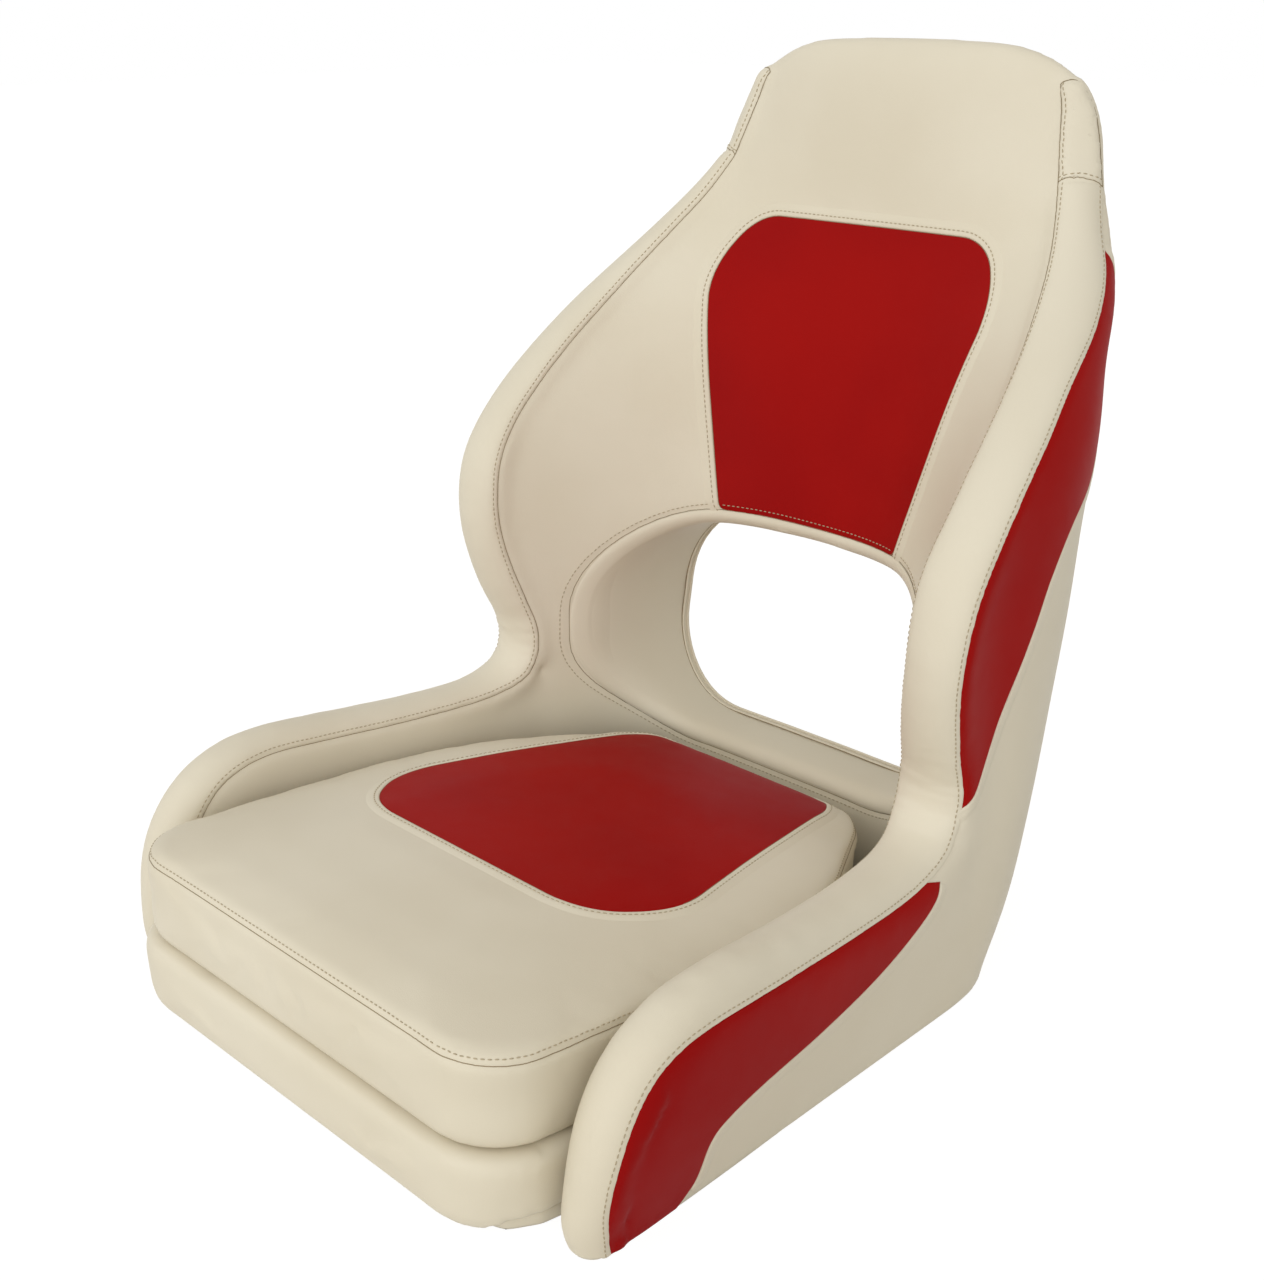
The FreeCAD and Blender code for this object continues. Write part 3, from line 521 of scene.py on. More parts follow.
def largest_part(bm):
    """Keeps the largest connected part, and drops what was closed in inside it."""
    left = set(bm.verts)
    parts = []
    while left:
        seed = left.pop()
        part = {seed}
        stack = [seed]
        while stack:
            for edge in stack.pop().link_edges:
                for vert in edge.verts:
                    if vert in left:
                        left.discard(vert)
                        part.add(vert)
                        stack.append(vert)
        parts.append(part)
    parts.sort(key=len)
    for part in parts[:-1]:
        bmesh.ops.delete(bm, geom=list(part), context="VERTS")


def carve(bm, paths, depth, width):
    """Draws a surface in along seams."""
    bm.normal_update()
    spots = [spot for path in paths for spot in path]
    near = KDTree(len(spots))
    for index, spot in enumerate(spots):
        near.insert(spot, index)
    near.balance()
    for vert in bm.verts:
        away = near.find(vert.co)[2] / MM
        if away < 3 * width:
            vert.co -= vert.normal * (depth * MM * math.exp(-(away / width) ** 2))
    bm.normal_update()


def on_tree(tree, path):
    return [tree.find_nearest(spot)[0] for spot in path]


# Bucket: one skin round all its nodes, drawn in along the seams, then parted

LINING_NODES = ["inner_lining", "back_insert", "lumbar_liner"]
COVER_NODES = ["outer_cover", "upper_side_insert_left", "upper_side_insert_right",
               "lower_side_insert_left", "lower_side_insert_right", "lumbar_trim_ring"]
EDGE_NODES = ["wing_band_left", "wing_band_right", "headrest_gusset_left",
              "headrest_gusset_right"]

WINDOW = rounded([(-167.0, 88.0), (167.0, 88.0), (167.0, 270.0), (-167.0, 270.0)], 78.0,
                 SEAM_SPOTS)
BACK_FROM = 80.0              # what lies behind this belongs to the back
CAP_HALF_WIDTH = 150.0        # arched seam at the rear of the headrest, and how it falls away
CAP_TOP = 644.0
CAP_FALL = 27.0
CAP_STEPS = 60


def window_roll(bm):
    """Points on the back that lie near the edge of the window."""
    edge = KDTree(len(WINDOW))
    for index, flat in enumerate(WINDOW):
        edge.insert((flat.x * MM, 0.0, flat.y * MM), index)
    edge.balance()
    return [v for v in bm.verts if v.co.y > BACK_FROM * MM
            and edge.find((v.co.x, 0.0, v.co.z))[2] < ROLL_REACH * MM]


def bucket_skin():
    """Skin of the bucket before its seams are drawn in."""
    bm = remeshed(LINING_NODES + COVER_NODES + EDGE_NODES + ["seat_shell"], SKIN_VOXEL,
                  SKIN_ROUNDS, FOOT_DROP)
    largest_part(bm)
    shell_tree = tree_of(["seat_shell"])
    smoothed(bm, window_roll(bm), ROLL_ROUNDS)
    for extra in COVER_LIFTS:
        keep_over(bm, shell_tree, SHELL_COVER + extra)
        smoothed(bm, bm.verts, 2)
    keep_over(bm, shell_tree, SHELL_COVER)
    pressed(bm)
    return bm


skin = bucket_skin()
SMOOTH_TREE = BVHTree.FromBMesh(skin)


def seam_path(stations, side, outer):
    """Even spots along the inner or the outer seam of a strip."""
    at = 3 if outer else 0
    path = spread([place(side * s[at], s[at + 1], s[at + 2]) for s in stations], SEAM_SPOTS)
    return on_tree(SMOOTH_TREE, path)


def ray(tree, origin, aim):
    return tree.ray_cast(Vector(origin), Vector(aim))[0]


def from_inside(tree):
    """Lays a flat outline, half-width and height, on the sitter's side of the back."""
    return lambda flat: ray(tree, (flat.x * MM, 0.05, flat.y * MM), (0, 1, 0))


def from_behind(tree):
    """Lays a flat outline, half-width and height, on the rear of the back."""
    return lambda flat: ray(tree, (flat.x * MM, 0.6, flat.y * MM), (0, -1, 0))


def from_side(tree, side):
    """Lays a flat outline, setback and height, on the outside of a wing."""
    return lambda flat: ray(tree, (side * 0.4, (FRONT + flat.x) * MM, flat.y * MM), (-side, 0, 0))


def from_above(tree):
    """Lays a flat outline, half-width and setback, on a cushion."""
    return lambda flat: ray(tree, (flat.x * MM, (FRONT + flat.y) * MM, 0.3), (0, 0, -1))


def laid_path(outline, lay):
    return [spot for spot in (lay(flat) for flat in outline) if spot is not None]


WINDOW_SEAM = laid_path(grown(WINDOW, WINDOW_ROLL, True), from_inside(SMOOTH_TREE))


def bucket_seams():
    """Paths of all the seams that draw in the bucket."""
    cap_line = []
    for k in range(-CAP_STEPS, CAP_STEPS + 1):
        share = k / CAP_STEPS
        cap_line.append(Vector((CAP_HALF_WIDTH * share, CAP_TOP - CAP_FALL * abs(share) ** 5)))
    lay = from_behind(SMOOTH_TREE)
    paths = [WINDOW_SEAM, laid_path(grown(WINDOW, RING_WIDTH, True), lay),
             laid_path(cap_line, lay)]
    for side in (-1, 1):
        for stations in (BAND, GUSSET):
            paths.append(seam_path(stations, side, False))
            paths.append(seam_path(stations, side, True))
    return paths


carve(skin, bucket_seams(), SEAM_DEPTH, SEAM_WIDTH)
SKIN_TREE = BVHTree.FromBMesh(skin)

# The cover is turned in under the floor as far as this, and the rest of the floor is bare
BARE_HALF_WIDTH = 188.0
BARE_FRONT = 50.0
BARE_REAR = 500.0
BARE_TOP = 13.0
BARE_SLOPE = 0.6              # least upright share of the normal of a face of the floor


def in_floor(centre, normal):
    """Whether a face lies over or under the bare floor of the shell, away from the hem."""
    wide = abs(centre.x) / MM
    setback = centre.y / MM - FRONT
    level = centre.z < BARE_TOP * MM and abs(normal.z) > BARE_SLOPE
    return level and wide < BARE_HALF_WIDTH and BARE_FRONT < setback < BARE_REAR


def split_skin(bm):
    """Indices of the faces on the lining's side, and of those on the cover's side."""
    lining_tree = tree_of(LINING_NODES)
    cover_tree = tree_of(COVER_NODES)
    lining_side = set()
    cover_side = set()
    bm.faces.index_update()
    for face in bm.faces:
        centre = face.calc_center_median()
        if in_floor(centre, face.normal):
            continue
        if lining_tree.find_nearest(centre)[3] < cover_tree.find_nearest(centre)[3]:
            lining_side.add(face.index)
        else:
            cover_side.add(face.index)
    return lining_side, cover_side


def faces_as_mesh(bm, keep, name):
    copy = bm.copy()
    gone = [f for f in copy.faces if f.index not in keep]
    bmesh.ops.delete(copy, geom=gone, context="FACES")
    return mesh_from(copy, name)


lining_faces, cover_faces = split_skin(skin)
lining = new_piece("bucket_lining", faces_as_mesh(skin, lining_faces, "bucket_lining"), IVORY)
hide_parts("inner_lining")
cover = new_piece("bucket_cover", faces_as_mesh(skin, cover_faces, "bucket_cover"), IVORY)
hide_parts("outer_cover")


# Panels and strips laid on a surface

def groove(away):
    """Share of the groove that a row of stitches draws, at a distance from its seam."""
    return math.exp(-((away - STITCH_INSET) / 1.1) ** 2)


def puff(away):
    """Height of a sewn panel's face over the surface, at a distance from its seam."""
    return (0.3 - math.exp(-away / 0.5) + PANEL_RISE * (1.0 - math.exp(-away / 4.5))
            - 0.18 * groove(away))


def folded(away):
    """The same for an edge that is turned under and lies on the next panel."""
    edge = 1.0 - math.exp(-away / 0.35)
    return -0.5 + (LIP_RISE + 0.5) * edge - 0.22 * groove(away)


def laid(name, grid, tree):
    """Sheet over a surface: grid[i][j] is a spot and its height over the surface."""
    columns = len(grid[0])
    bm = bmesh.new()
    bmesh.ops.create_grid(bm, x_segments=columns - 1, y_segments=len(grid) - 1, size=1.0)
    bm.verts.ensure_lookup_table()
    for index, vert in enumerate(bm.verts):
        spot, rise = grid[index // columns][index % columns]
        near, normal, _, _ = tree.find_nearest(spot)
        vert.co = near + normal * (rise * MM)
        vert.co.z = max(vert.co.z, FLOOR_GAP * MM)
    bmesh.ops.remove_doubles(bm, verts=bm.verts, dist=SHEET_WELD * MM)
    bmesh.ops.recalc_face_normals(bm, faces=bm.faces)
    mesh = mesh_from(bm, name)
    face = mesh.polygons[len(mesh.polygons) // 2]
    if face.normal.dot(tree.find_nearest(face.center)[1]) < 0:
        mesh.flip_normals()
    return mesh


def stitched(name, path, tree, body="root"):
    """Row of stitches along a path, each laid on the surface under it."""
    bm = bmesh.new()
    count = int(length_of(path) / (STITCH_PITCH * MM))
    ends = even(path, count * 3 + 1)
    for k in range(count):
        a = tree.find_nearest(ends[3 * k])[0]
        b = tree.find_nearest(ends[3 * k + 2])[0]
        middle = (a + b) * 0.5
        normal = tree.find_nearest(middle)[1]
        run = (b - a).normalized()
        side = normal.cross(run).normalized()
        turn = Matrix((run, side, run.cross(side))).transposed().to_4x4()
        size = Matrix.Diagonal(((b - a).length * 0.56, THREAD * MM, THREAD * MM, 1.0))
        put = Matrix.Translation(middle + normal * (THREAD * 0.35 * MM))
        bmesh.ops.create_icosphere(bm, subdivisions=1, radius=1.0, matrix=put @ turn @ size)
    new_piece(name, mesh_from(bm, name), THREAD_LOOK, body)


def crown_along(stations, rows):
    """Crown of a strip at even distances along it."""
    reach = [0.0]
    for one, two in zip(stations, stations[1:]):
        reach.append(reach[-1] + (Vector(two[:3]) - Vector(one[:3])).length)
    out = []
    for k in range(rows):
        want = reach[-1] * k / (rows - 1)
        i = min(max(bisect.bisect_right(reach, want) - 1, 0), len(stations) - 2)
        share = min((want - reach[i]) / (reach[i + 1] - reach[i]), 1.0)
        out.append(stations[i][6] * (1 - share) + stations[i + 1][6] * share)
    return out


def strip_steps(length):
    """Distances from the inner seam at which a strip's columns lie."""
    near = [step * min(1.0, length / 22.0) for step in EDGE_STEPS]
    gap = (length - 2 * near[-1]) / 14
    middle = [near[-1] + gap * k for k in range(1, 14)]
    return near + middle + [length - step for step in reversed(near)]


def strip_grid(stations, rows, side):
    """Spots of a crowned strip on the skin, each with its distances from the seams and ends."""
    inner = spread([place(side * s[0], s[1], s[2]) for s in stations], rows)
    outer = spread([place(side * s[3], s[4], s[5]) for s in stations], rows)
    crowns = crown_along(stations, rows)
    total = length_of(inner) / MM
    grid = []
    for i in range(rows):
        a = inner[i]
        b = outer[i]
        ahead = (inner[min(i + 1, rows - 1)] + outer[min(i + 1, rows - 1)]) * 0.5
        behind = (inner[max(i - 1, 0)] + outer[max(i - 1, 0)]) * 0.5
        across = b - a
        out = (ahead - behind).cross(across).normalized() * side
        section = []
        for j in range(SECTION_SPOTS):
            w = j / (SECTION_SPOTS - 1)
            bow = crowns[i] * (1.0 - abs(2 * w - 1) ** 2.6)
            section.append(a + across * w + out * (bow * MM))
        section = on_tree(SMOOTH_TREE, section)
        length = length_of(section) / MM
        steps = strip_steps(length)
        end = total * i / (rows - 1)
        spots = along(section, [step * MM for step in steps])
        grid.append([(spot, step, length - step, end, total - end)
                     for spot, step in zip(spots, steps)])
    return grid


def puckers(spot, away):
    """Fine gathers along a seam, and soft creases where the band turns at the waist."""
    fine = 0.16 * noise(spot * 260.0) * math.exp(-(away / 7.0) ** 2)
    waist = math.exp(-((spot.z / MM - 170.0) / 34.0) ** 2)
    crease = 0.9 * noise(Vector((spot.x * 30.0, spot.y * 45.0, spot.z * 150.0)))
    return fine + waist * crease


def tube(name, path, radius, look, closed=False, body="root"):
    """Thin round bead or line along a path."""
    curve = bpy.data.curves.new(name, "CURVE")
    curve.dimensions = "3D"
    curve.bevel_depth = radius * MM
    curve.bevel_resolution = 2
    curve.use_fill_caps = not closed
    line = curve.splines.new("POLY")
    line.points.add(len(path) - 1)
    for point, spot in zip(line.points, path):
        point.co = (spot.x, spot.y, spot.z, 1.0)
    line.use_cyclic_u = closed
    new_piece(name, baked(linked(name, curve)), look, body)


def painted_seam_shadow(name, path, tree, closed=False, body="root", radius=SEAM_SHADOW, rise=0.1):
    """Painted shadow: the dark line where two covers meet in a seam, standing in for the shade in
    its crease.
    """
    spots = []
    for spot in path:
        near, normal, _, _ = tree.find_nearest(spot)
        spots.append(near + normal * (rise * MM))
    tube(name, spots, radius, SEAM_SHADE_LOOK, closed, body)


# Wing bands and the gussets beside the headrest

OUTER_SEAM = {}


def covered(spots, height):
    """Spots of a strip, each with the height of its cover over the skin."""
    return [[(spot, height(spot, *away)) for spot, *away in row] for row in spots]


def band_height(spot, to_inner, to_outer, to_end, _):
    rise = min(puff(to_inner), folded(to_outer), puff(to_end))
    return rise + puckers(spot, min(to_inner, to_outer))


def gusset_height(_, to_inner, to_outer, to_end, to_top):
    return min(puff(to_inner), puff(to_outer), folded(to_end), puff(to_top))


def wing_band(side, word):
    """Band of one side, from the cross seam to the floor, with its stitches."""
    spots = strip_grid(BAND, BAND_ROWS, side)
    mesh = laid("band", covered(spots, band_height), SKIN_TREE)
    tree = tree_from(mesh)
    band = new_piece("wing_band_" + word + "_cover", mesh, IVORY)
    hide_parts("wing_band_" + word)
    OUTER_SEAM[side] = [row[-1][0] for row in spots]
    inner = [row[0][0] for row in spots]
    # Painted shadow along the band's inner seam
    painted_seam_shadow("band_inner_seam_shadow_" + word, inner, SKIN_TREE)
    inner = [row[STITCH_STEP][0] for row in spots]
    stitched("band_inner_stitches_" + word, inner, tree)
    outer = [row[-1 - STITCH_STEP][0] for row in spots]
    stitched("band_outer_stitches_" + word, outer, tree)


def headrest_gusset(side, word):
    """Gusset of one side, turned under at the cross seam."""
    spots = strip_grid(GUSSET, GUSSET_ROWS, side)
    mesh = laid("gusset", covered(spots, gusset_height), SKIN_TREE)
    tree = tree_from(mesh)
    gusset = new_piece("headrest_gusset_" + word + "_cover", mesh, IVORY)
    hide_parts("headrest_gusset_" + word)
    border = [row[0][0] for row in spots]
    border += [entry[0] for entry in spots[-1]][1:]
    border += [row[-1][0] for row in reversed(spots)][1:]
    # Painted shadow round the gusset's seam and along the cross seam
    painted_seam_shadow("gusset_seam_shadow_" + word, border, SKIN_TREE, rise=0.3)
    painted_seam_shadow("cross_seam_" + word, [entry[0] for entry in spots[0]], SKIN_TREE)
    stitched("gusset_inner_stitches_" + word, [row[STITCH_STEP][0] for row in spots], tree)
    first = next(k for k, row in enumerate(spots) if row[0][3] > STITCH_INSET)
    stitched("cross_seam_stitches_" + word, [entry[0] for entry in spots[first]], tree)


for side, word in SIDES:
    wing_band(side, word)
    headrest_gusset(side, word)


# Red panels and their turned borders

def red_sheet(name, outline, lay, centre, tree):
    """Sheet in rings from under its border to the middle of a red panel."""
    tucked = grown(outline, PANEL_TUCK, True)
    grid = []
    for k in range(PANEL_RINGS):
        t = (k / (PANEL_RINGS - 1)) ** 1.7
        row = []
        for spot in tucked + tucked[:1]:
            flat = spot.lerp(centre, t)
            away = (flat - spot).length
            rise = PANEL_LIFT + 0.35 * (1.0 - math.exp(-away / 12.0)) - 0.8 * math.exp(-away / 0.4)
            row.append((lay(flat), rise))
        grid.append(row)
    return laid(name, grid, tree)


LIP_STEPS = (0.0, 0.15, 0.4, 0.8, 1.5, 2.5, 3.3, 4.0, 4.7, 5.6, 7.0, 9.0, 11.5)


def lip(name, outline, lay, tree, closed=False, body="root"):
    """Ivory edge, turned under, that lies on the border of a red panel; returns its tree."""
    strands = [grown(outline, step, closed) for step in LIP_STEPS]
    count = len(outline)
    total = length_of(outline)
    grid = []
    run = 0.0
    for i in range(count + (1 if closed else 0)):
        k = i % count
        if i > 0:
            run += (outline[k] - outline[k - 1]).length
        ends = 1.0 if closed else min(run, total - run) / LIP_FADE
        fade = min(max(ends, 0.0), 1.0)
        row = []
        for step, strand in zip(LIP_STEPS, strands):
            settle = min(max((LIP_STEPS[-1] - step) / LIP_SETTLE, 0.0), 1.0)
            rise = -LIP_SUNK + (folded(step) + LIP_SUNK) * fade * settle
            row.append((lay(strand[k]), rise))
        if all(entry[0] is not None for entry in row):
            grid.append(row)
    mesh = laid(name, grid, tree)
    new_piece(name, mesh, IVORY, body)
    return tree_from(mesh)


BACK_RADII = [6.0, 6.0, 34.0, 34.0, 34.0, 34.0]
BACK_CENTRE = Vector((0.0, 410.0))


def back_insert():
    """Red panel of the back and its border, with the seam and stitches of the window."""
    lay = from_inside(SKIN_TREE)
    outline = rounded(BACK_PANEL, BACK_RADII, OUTLINE_SPOTS)
    mesh = red_sheet("back", outline, lay, BACK_CENTRE, SKIN_TREE)
    red_tree = tree_from(mesh)
    back_panel = new_piece("back_insert_panel", mesh, RED)
    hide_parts("back_insert")
    lowest = min(spot.y for spot in outline)
    sides = open_run(outline, lambda spot: spot.y > lowest + 0.4)
    tree = lip("back_insert_border", sides, lay, SKIN_TREE)
    # Painted shadow along the turned edge of the red back panel
    shadow_path = laid_path(grown(outline, -SHADOW_INSET, True), lay)
    painted_seam_shadow("back_insert_seam_shadow", shadow_path, red_tree, True, radius=PANEL_SHADOW)
    row = laid_path(grown(sides, STITCH_INSET, False), lay)
    stitched("back_border_stitches", row, tree)
    half = BACK_PANEL[1][0] - 2.0
    row = [Vector((half * k / 40, lowest + STITCH_INSET)) for k in range(-40, 41)]
    stitched("back_lower_stitches", laid_path(row, lay), red_tree)
    around = grown(WINDOW, WINDOW_ROLL + STITCH_INSET, True)
    around = open_run(around, lambda spot: not (abs(spot.x) < half + 3.0 and spot.y > 200.0))
    stitched("window_stitches", laid_path(around, lay), SKIN_TREE)
    # Painted shadow in the window's seam
    painted_seam_shadow("window_seam_shadow", WINDOW_SEAM, SKIN_TREE, True)


back_insert()


# Red panels on the outsides of the wings and arms

UPPER_TIP = 522.0             # height at which the upper panels end
LINE_GAP = 1.2                # how far a panel runs on under the band


def seam_stretch(side, low, high):
    """Setbacks and heights of the band's outer seam between two of its stations."""
    path = OUTER_SEAM[side]
    ends = []
    for station in (BAND[low], BAND[high]):
        aim = place(side * station[3], station[4], station[5])
        ends.append(min(range(len(path)), key=lambda k: (path[k] - aim).length))
    return [Vector((spot.y / MM - FRONT - LINE_GAP, spot.z / MM))
            for spot in path[ends[0]:ends[1] + 1]]


def side_panel_grid(front, rear, lay, side):
    """Grid between the band's outer seam and the panel's free edge, from the waist on."""
    first = even(front, SIDE_ROWS)
    second = spread(rear, SIDE_ROWS)
    grid = []
    for i, (a, b) in enumerate(zip(first, second)):
        lift = SIDE_LIFT - TIP_SINK * max(0.0, 1.0 - i / TIP_ROWS)
        width = (b - a).length
        row = []
        for j in range(SIDE_COLUMNS):
            w = 0.5 - 0.5 * math.cos(math.pi * j / (SIDE_COLUMNS - 1))
            flat = a.lerp(b, w)
            spot = lay(flat)
            if spot is None:
                spot = Vector((side * 0.24, (FRONT + flat.x) * MM, flat.y * MM))
            away = min(w, 1 - w) * width
            row.append((spot, lift - math.exp(-away / 0.4)))
        grid.append(row)
    return grid


def side_insert(side, word, part, front, rear):
    """Red panel between a stretch of the band and its own free edge."""
    lay = from_side(SKIN_TREE, side)
    mesh = laid(part, side_panel_grid(front, rear, lay, side), SKIN_TREE)
    piece = new_piece(part + "_side_panel_" + word, mesh, RED)
    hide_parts(part + "_side_insert_" + word)
    edge = spread(rear, SIDE_EDGE_SPOTS)
    if part == "lower":
        edge.reverse()
    lip(part + "_side_border_" + word, edge, lay, SKIN_TREE)
    # Painted shadow along the turned edge of the red side panel
    shadow_path = laid_path(grown(edge, -SHADOW_INSET, False), lay)
    painted_seam_shadow(part + "_side_seam_shadow_" + word, shadow_path, tree_from(mesh), radius=SIDE_SHADOW)


for side, word in SIDES:
    upper = [spot for spot in seam_stretch(side, 1, 14) if spot.y < UPPER_TIP]
    upper.reverse()
    side_insert(side, word, "upper", upper, [Vector(spot) for spot in UPPER_REAR])
    lower = seam_stretch(side, 16, 25)
    side_insert(side, word, "lower", lower, [Vector(spot) for spot in LOWER_REAR])


# Window: trim ring and piping on the rear, both sewn to the liner

RIM = WINDOW[::3]
NEAR_RIM = 13.0               # distances from the window at which its rear is measured
FAR_RIM = 21.0
FAR_BEHIND = 0.6
RING_SECTION = ((12.0, 0.0, -0.7), (11.6, 0.0, -0.2), (11.0, 0.0, 0.3), (9.5, 0.0, 0.8),
                (7.0, 0.0, 1.0), (4.5, 0.0, 0.9), (2.4, 0.0, 0.6), (1.0, 0.3, 0.2),
                (0.2, 1.2, 0.0), (-0.3, 2.4, 0.0), (-0.5, 4.0, 0.0), (-0.5, 6.0, 0.0),
                (-0.4, 8.0, 0.0), (-0.2, 9.2, 0.0), (1.0, 10.4, 0.0))


def levelled(values, reach):
    """Closed row of values, each the mean of those near it."""
    count = len(values)
    span = 2 * reach + 1
    return [sum(values[(k + d) % count] for d in range(-reach, reach + 1)) / span
            for k in range(count)]


def rear_depths(away):
    """Where the rear of the back would be round the window, at a distance from its edge."""
    depths = []
    last = 0.3
    for flat in grown(RIM, away, True):
        spot = ray(SMOOTH_TREE, (flat.x * MM, FAR_BEHIND, flat.y * MM), (0, -1, 0))
        last = spot.y if spot is not None and spot.y > 0.15 else last
        depths.append(last)
    return levelled(depths, 5)


near_depths = rear_depths(NEAR_RIM)
far_depths = rear_depths(FAR_RIM)


def rim_path(away, forward, rise):
    """Line round the window on its levelled rear, moved forward or raised from it."""
    path = []
    for flat, near, far in zip(grown(RIM, away, True), near_depths, far_depths):
        depth = near + (near - far) * (NEAR_RIM - away) / (FAR_RIM - NEAR_RIM)
        path.append(Vector((flat.x * MM, depth + (rise - forward) * MM, flat.y * MM)))
    return path


def loft(name, loops):
    """Sheet through closed loops."""
    bm = bmesh.new()
    count = len(loops[0])
    bmesh.ops.create_grid(bm, x_segments=count, y_segments=len(loops) - 1, size=1.0)
    bm.verts.ensure_lookup_table()
    for index, vert in enumerate(bm.verts):
        vert.co = loops[index // (count + 1)][index % (count + 1) % count]
    bmesh.ops.remove_doubles(bm, verts=bm.verts, dist=LOFT_WELD * MM)
    bmesh.ops.recalc_face_normals(bm, faces=bm.faces)
    return mesh_from(bm, name)


def trim_ring():
    mesh = loft("ring", [rim_path(*step) for step in RING_SECTION])
    if mesh.polygons[len(RIM) * 4].normal.y < 0:
        mesh.flip_normals()
    ring = new_piece("lumbar_trim_ring_cover", mesh, IVORY)
    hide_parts("lumbar_trim_ring")


# Liner: distance from the window, way to the rear and height over the skin, from its front
# seam over the roll into the window
LINER_ROLL = ((13.0, 0.0, -0.3), (12.2, 0.1, 0.1), (11.0, 0.3, 0.4), (9.0, 0.9, 0.6),
              (6.8, 2.0, 0.7), (4.6, 4.0, 0.7), (2.6, 6.6, 0.7), (1.2, 9.6, 0.7),
              (0.3, 13.0, 0.6))
LINER_REAR = 8.6              # it ends this far before the rear of the back
LINER_RISE = 0.6


def liner_loops():
    """Loops of the liner, each spot with its height over the skin."""
    front_depths = []
    last = 0.2
    lay = from_inside(SMOOTH_TREE)
    for flat in grown(RIM, WINDOW_ROLL, True):
        spot = lay(flat)
        last = spot.y if spot is not None else last
        front_depths.append(last)
    front_depths = levelled(front_depths, 4)
    loops = []
    for away, rearward, rise in LINER_ROLL:
        loops.append([(Vector((flat.x * MM, depth + rearward * MM, flat.y * MM)), rise)
                      for flat, depth in zip(grown(RIM, away, True), front_depths)])
    starts = loops[-1]
    ends = rim_path(0.0, LINER_REAR, 0.0)
    for share in (0.25, 0.5, 0.75, 1.0):
        loops.append([(start.lerp(end, share), LINER_RISE)
                      for (start, _), end in zip(starts, ends)])
    return loops


def over_skin(loop):
    """A loop laid on the skin, levelled along itself, and raised from it."""
    near = [SKIN_TREE.find_nearest(spot) for spot, _ in loop]
    axes = [levelled(levelled([entry[0][axis] for entry in near], 4), 4) for axis in range(3)]
    return [Vector(spot) + entry[1] * (rise * MM)
            for spot, entry, (_, rise) in zip(zip(*axes), near, loop)]


def window_liner():
    mesh = loft("liner", [over_skin(loop) for loop in liner_loops()])
    face = mesh.polygons[len(RIM) * 6]
    if face.normal.dot(SKIN_TREE.find_nearest(face.center)[1]) < 0:
        mesh.flip_normals()
    liner = new_piece("lumbar_liner_cover", mesh, IVORY)
    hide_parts("lumbar_liner")


trim_ring()
window_liner()
tube("lumbar_piping_rear", rim_path(-0.7, 2.2, 0.0), PIPING, IVORY, True)
tube("lumbar_piping_front", rim_path(-0.7, 8.2, 0.0), PIPING, IVORY, True)
# Painted shadows: dark lines in the piping's seam and at the trim ring's edge
tube("lumbar_piping_seam_shadow", rim_path(-0.6, 9.8, 0.0), PIPING_SHADOW, SEAM_SHADE_LOOK, True)
tube("lumbar_ring_seam_shadow", rim_path(12.1, 0.0, 0.1), SEAM_SHADOW, SEAM_SHADE_LOOK, True)


# Cushions

PRESSURE = 4.0
PRESSURE_FRAMES = 20


def swollen(bm, name):
    """Fills a pad by pressure, and keeps each point near where it was."""
    start = [v.co.copy() for v in bm.verts]
    scene = bpy.context.scene
    piece = linked(name, mesh_from(bm, name))
    cloth = piece.modifiers.new("cloth", "CLOTH")
    cloth.settings.use_pressure = True
    cloth.settings.uniform_pressure_force = PRESSURE
    cloth.settings.effector_weights.gravity = 0.0
    cloth.settings.quality = 4
    cloth.point_cache.frame_start = 1
    cloth.point_cache.frame_end = PRESSURE_FRAMES
    for step in range(1, PRESSURE_FRAMES + 1):
        scene.frame_set(step)
    mesh = baked(piece)
    scene.frame_set(1)
    for vert, was in zip(mesh.vertices, start):
        move = vert.co - was
        if move.length > PAD_CAP * MM:
            vert.co = was + move.normalized() * PAD_CAP * MM
    return mesh


def soft_pad(name, nodes):
    """Cushion in place of CAD solids, filled by pressure and subdivided once."""
    bm = remeshed(nodes, PAD_VOXEL, PAD_ROUNDS, 0.0)
    largest_part(bm)
    piece = linked(name, swollen(bm, name))
    finer = piece.modifiers.new("finer", "SUBSURF")
    finer.levels = 1
    finer.render_levels = 1
    return reopened(baked(piece))


def squab_outline(inset, count):
    """Plan of the squab's top seam, drawn in by some way."""
    plan = SQUAB_HALF + [(-x, y) for x, y in reversed(SQUAB_HALF)]
    return grown(rounded(plan, SQUAB_RADIUS, count), -inset, True)


def squab_height(setback, share):
    """Height at a share of the way from the squab's underside to its top."""
    top = SQUAB_TOP - SQUAB_TOP_FALL * setback / SQUAB_LENGTH
    base = SQUAB_BASE - SQUAB_BASE_FALL * setback / SQUAB_LENGTH
    return base + (top - base) * share


def squab_line(inset, count, share, tree):
    """Line round the squab, laid on it."""
    return [tree.find_nearest(place(flat.x, flat.y, squab_height(flat.y, share)))[0]
            for flat in squab_outline(inset, count)]


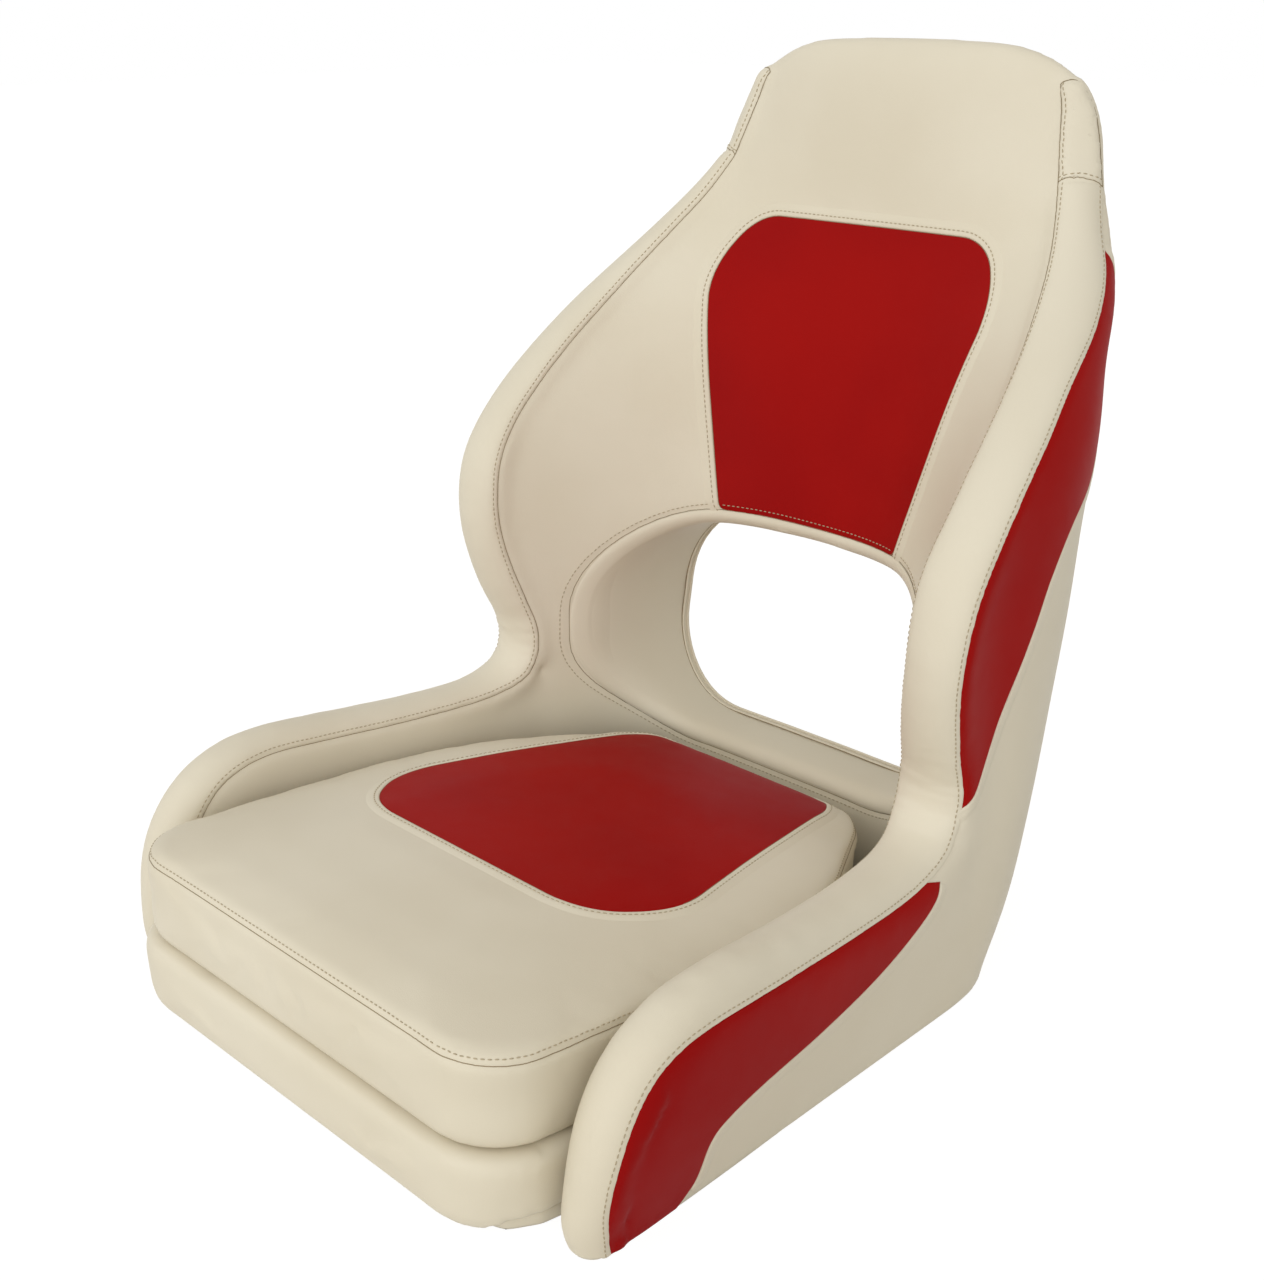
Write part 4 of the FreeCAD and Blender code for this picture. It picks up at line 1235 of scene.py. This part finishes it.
def squab_pad():
    """Squab with its seam and stitches; returns its tree."""
    bm = soft_pad("squab_pad", ["squab_cushion", "squab_insert"])
    boxing = squab_line(1.5, BOXING_SPOTS, 0.9, BVHTree.FromBMesh(bm))
    carve(bm, [boxing], SEAM_DEPTH, BOXING_WIDTH)
    squab = new_piece("squab_pad", mesh_from(bm, "squab_pad"), IVORY, "squab")
    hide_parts("squab_cushion")
    tree = tree_from(squab.data)
    stitched("squab_seam_stitches", squab_line(3.0, SEAM_SPOTS, 0.965, tree), tree, "squab")
    # Painted shadow in the squab's top seam
    painted_seam_shadow("squab_seam", boxing, tree, True, "squab")
    return tree


def lower_pad():
    """Lower cushion, whose bottom edge is drawn down to a crisp one."""
    bm = soft_pad("lower_pad", ["lower_cushion"])
    foot = min(v.co.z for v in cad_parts["lower_cushion"].data.vertices)
    for vert in bm.verts:
        height = max(vert.co.z - foot, 0.0)
        if height < FOOT_ROUND * MM:
            vert.co.z = foot + height * height / (FOOT_ROUND * MM)
    lower = new_piece("lower_pad", mesh_from(bm, "lower_pad"), IVORY)
    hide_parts("lower_cushion")


SEAT_RADIUS = 42.0
SEAT_CENTRE = Vector((0.0, 300.0))


def seat_insert(squab_tree):
    """Red panel in the top of the squab, with its border all round."""
    lay = from_above(squab_tree)
    outline = rounded(SEAT_PANEL, SEAT_RADIUS, OUTLINE_SPOTS)
    mesh = red_sheet("seat", outline, lay, SEAT_CENTRE, squab_tree)
    seat_panel = new_piece("squab_insert_panel", mesh, RED, "squab")
    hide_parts("squab_insert")
    tree = lip("squab_insert_border", outline, lay, squab_tree, True, "squab")
    # Painted shadow along the turned edge of the red seat panel
    shadow_path = laid_path(grown(outline, -SHADOW_INSET, True), lay)
    painted_seam_shadow("squab_insert_seam_shadow", shadow_path, tree_from(mesh), True, "squab", PANEL_SHADOW)
    row = laid_path(grown(outline, STITCH_INSET, True), lay)
    stitched("squab_border_stitches", row + row[:1], tree, "squab")


SQUAB_TREE = squab_pad()
lower_pad()
seat_insert(SQUAB_TREE)


# Stage, light and camera

SENSOR = 36.0
FOCAL_PIXELS = 1650.0         # focal length of the photo, and its longer side
PHOTO_PIXELS = 1280.0
CAMERA_PLACE = (0.7970, -0.7397, 0.6941)
CAMERA_AIM = (-0.6507, 0.6648, -0.3670)
LAMP_TARGET = (0.0, 0.0, 0.3)


def seen_rays(tree):
    """1 for the rays that see the surroundings themselves, 0 for those that gather light."""
    path = tree.nodes.new("ShaderNodeLightPath")
    seen = Wire(tree, path.outputs["Is Camera Ray"]) + Wire(tree, path.outputs["Is Glossy Ray"])
    return seen + Wire(tree, path.outputs["Is Transmission Ray"])


def stage_floor():
    bm = bmesh.new()
    bmesh.ops.create_grid(bm, x_segments=1, y_segments=1, size=12.0)
    floor = linked("floor", mesh_from(bm, "floor"))
    floor.location.z = -0.0006
    made = bpy.data.materials.new("floor_white")
    tree = blank_tree(made)
    diffuse = node(tree, "ShaderNodeBsdfDiffuse", {}, {"Color": (0.68, 0.66, 0.62, 1)})
    glow = node(tree, "ShaderNodeEmission", {}, {"Color": (1, 1, 1, 1), "Strength": 1.22})
    mixed = node(tree, "ShaderNodeMixShader", {}, (seen_rays(tree) * 0.76, diffuse, glow))
    to_output(tree, "ShaderNodeOutputMaterial", mixed)
    floor.data.materials.append(made)


def backdrop(tree, colour, strength):
    return node(tree, "ShaderNodeBackground", {}, {"Color": colour, "Strength": strength})


def sky():
    """White to the camera, and dimmer from behind the seat than from before it."""
    world = bpy.data.worlds.new("sky")
    tree = blank_tree(world)
    rear = backdrop(tree, (1.0, 0.96, 0.86, 1), 0.38)
    front = backdrop(tree, (1.0, 1.0, 0.98, 1), 1.15)
    toward = node(tree, "ShaderNodeTexCoord", output=0)
    turned = node(tree, "ShaderNodeVectorMath", {"operation": "DOT_PRODUCT"},
                  (toward, (0.15, -0.97, 0.08)), output=1)
    dim = node(tree, "ShaderNodeMixShader", {}, (turned.above(-0.7, 0.9), rear, front))
    white = backdrop(tree, (1, 1, 1, 1), 1.0)
    mixed = node(tree, "ShaderNodeMixShader", {}, (seen_rays(tree), dim, white))
    to_output(tree, "ShaderNodeOutputWorld", mixed)
    bpy.context.scene.world = world


def lamp(name, spot, size, power):
    data = bpy.data.lights.new(name, "AREA")
    data.shape = "DISK"
    data.size = size
    data.energy = power
    piece = linked(name, data)
    piece.location = spot
    aim = Vector(LAMP_TARGET) - Vector(spot)
    piece.rotation_euler = aim.to_track_quat("-Z", "Y").to_euler()


def photo_camera():
    data = bpy.data.cameras.new("camera")
    data.sensor_width = SENSOR
    data.lens = SENSOR * FOCAL_PIXELS / PHOTO_PIXELS
    camera = linked("camera", data)
    camera.location = CAMERA_PLACE
    camera.rotation_euler = Vector(CAMERA_AIM).to_track_quat("-Z", "Y").to_euler()
    bpy.context.scene.camera = camera


stage_floor()
sky()
lamp("key", (0.5, -2.6, 0.8), 1.4, 9.0)
lamp("fill", (1.7, -1.9, 0.9), 1.6, 5.0)
photo_camera()
bpy.context.scene.view_settings.view_transform = "Standard"
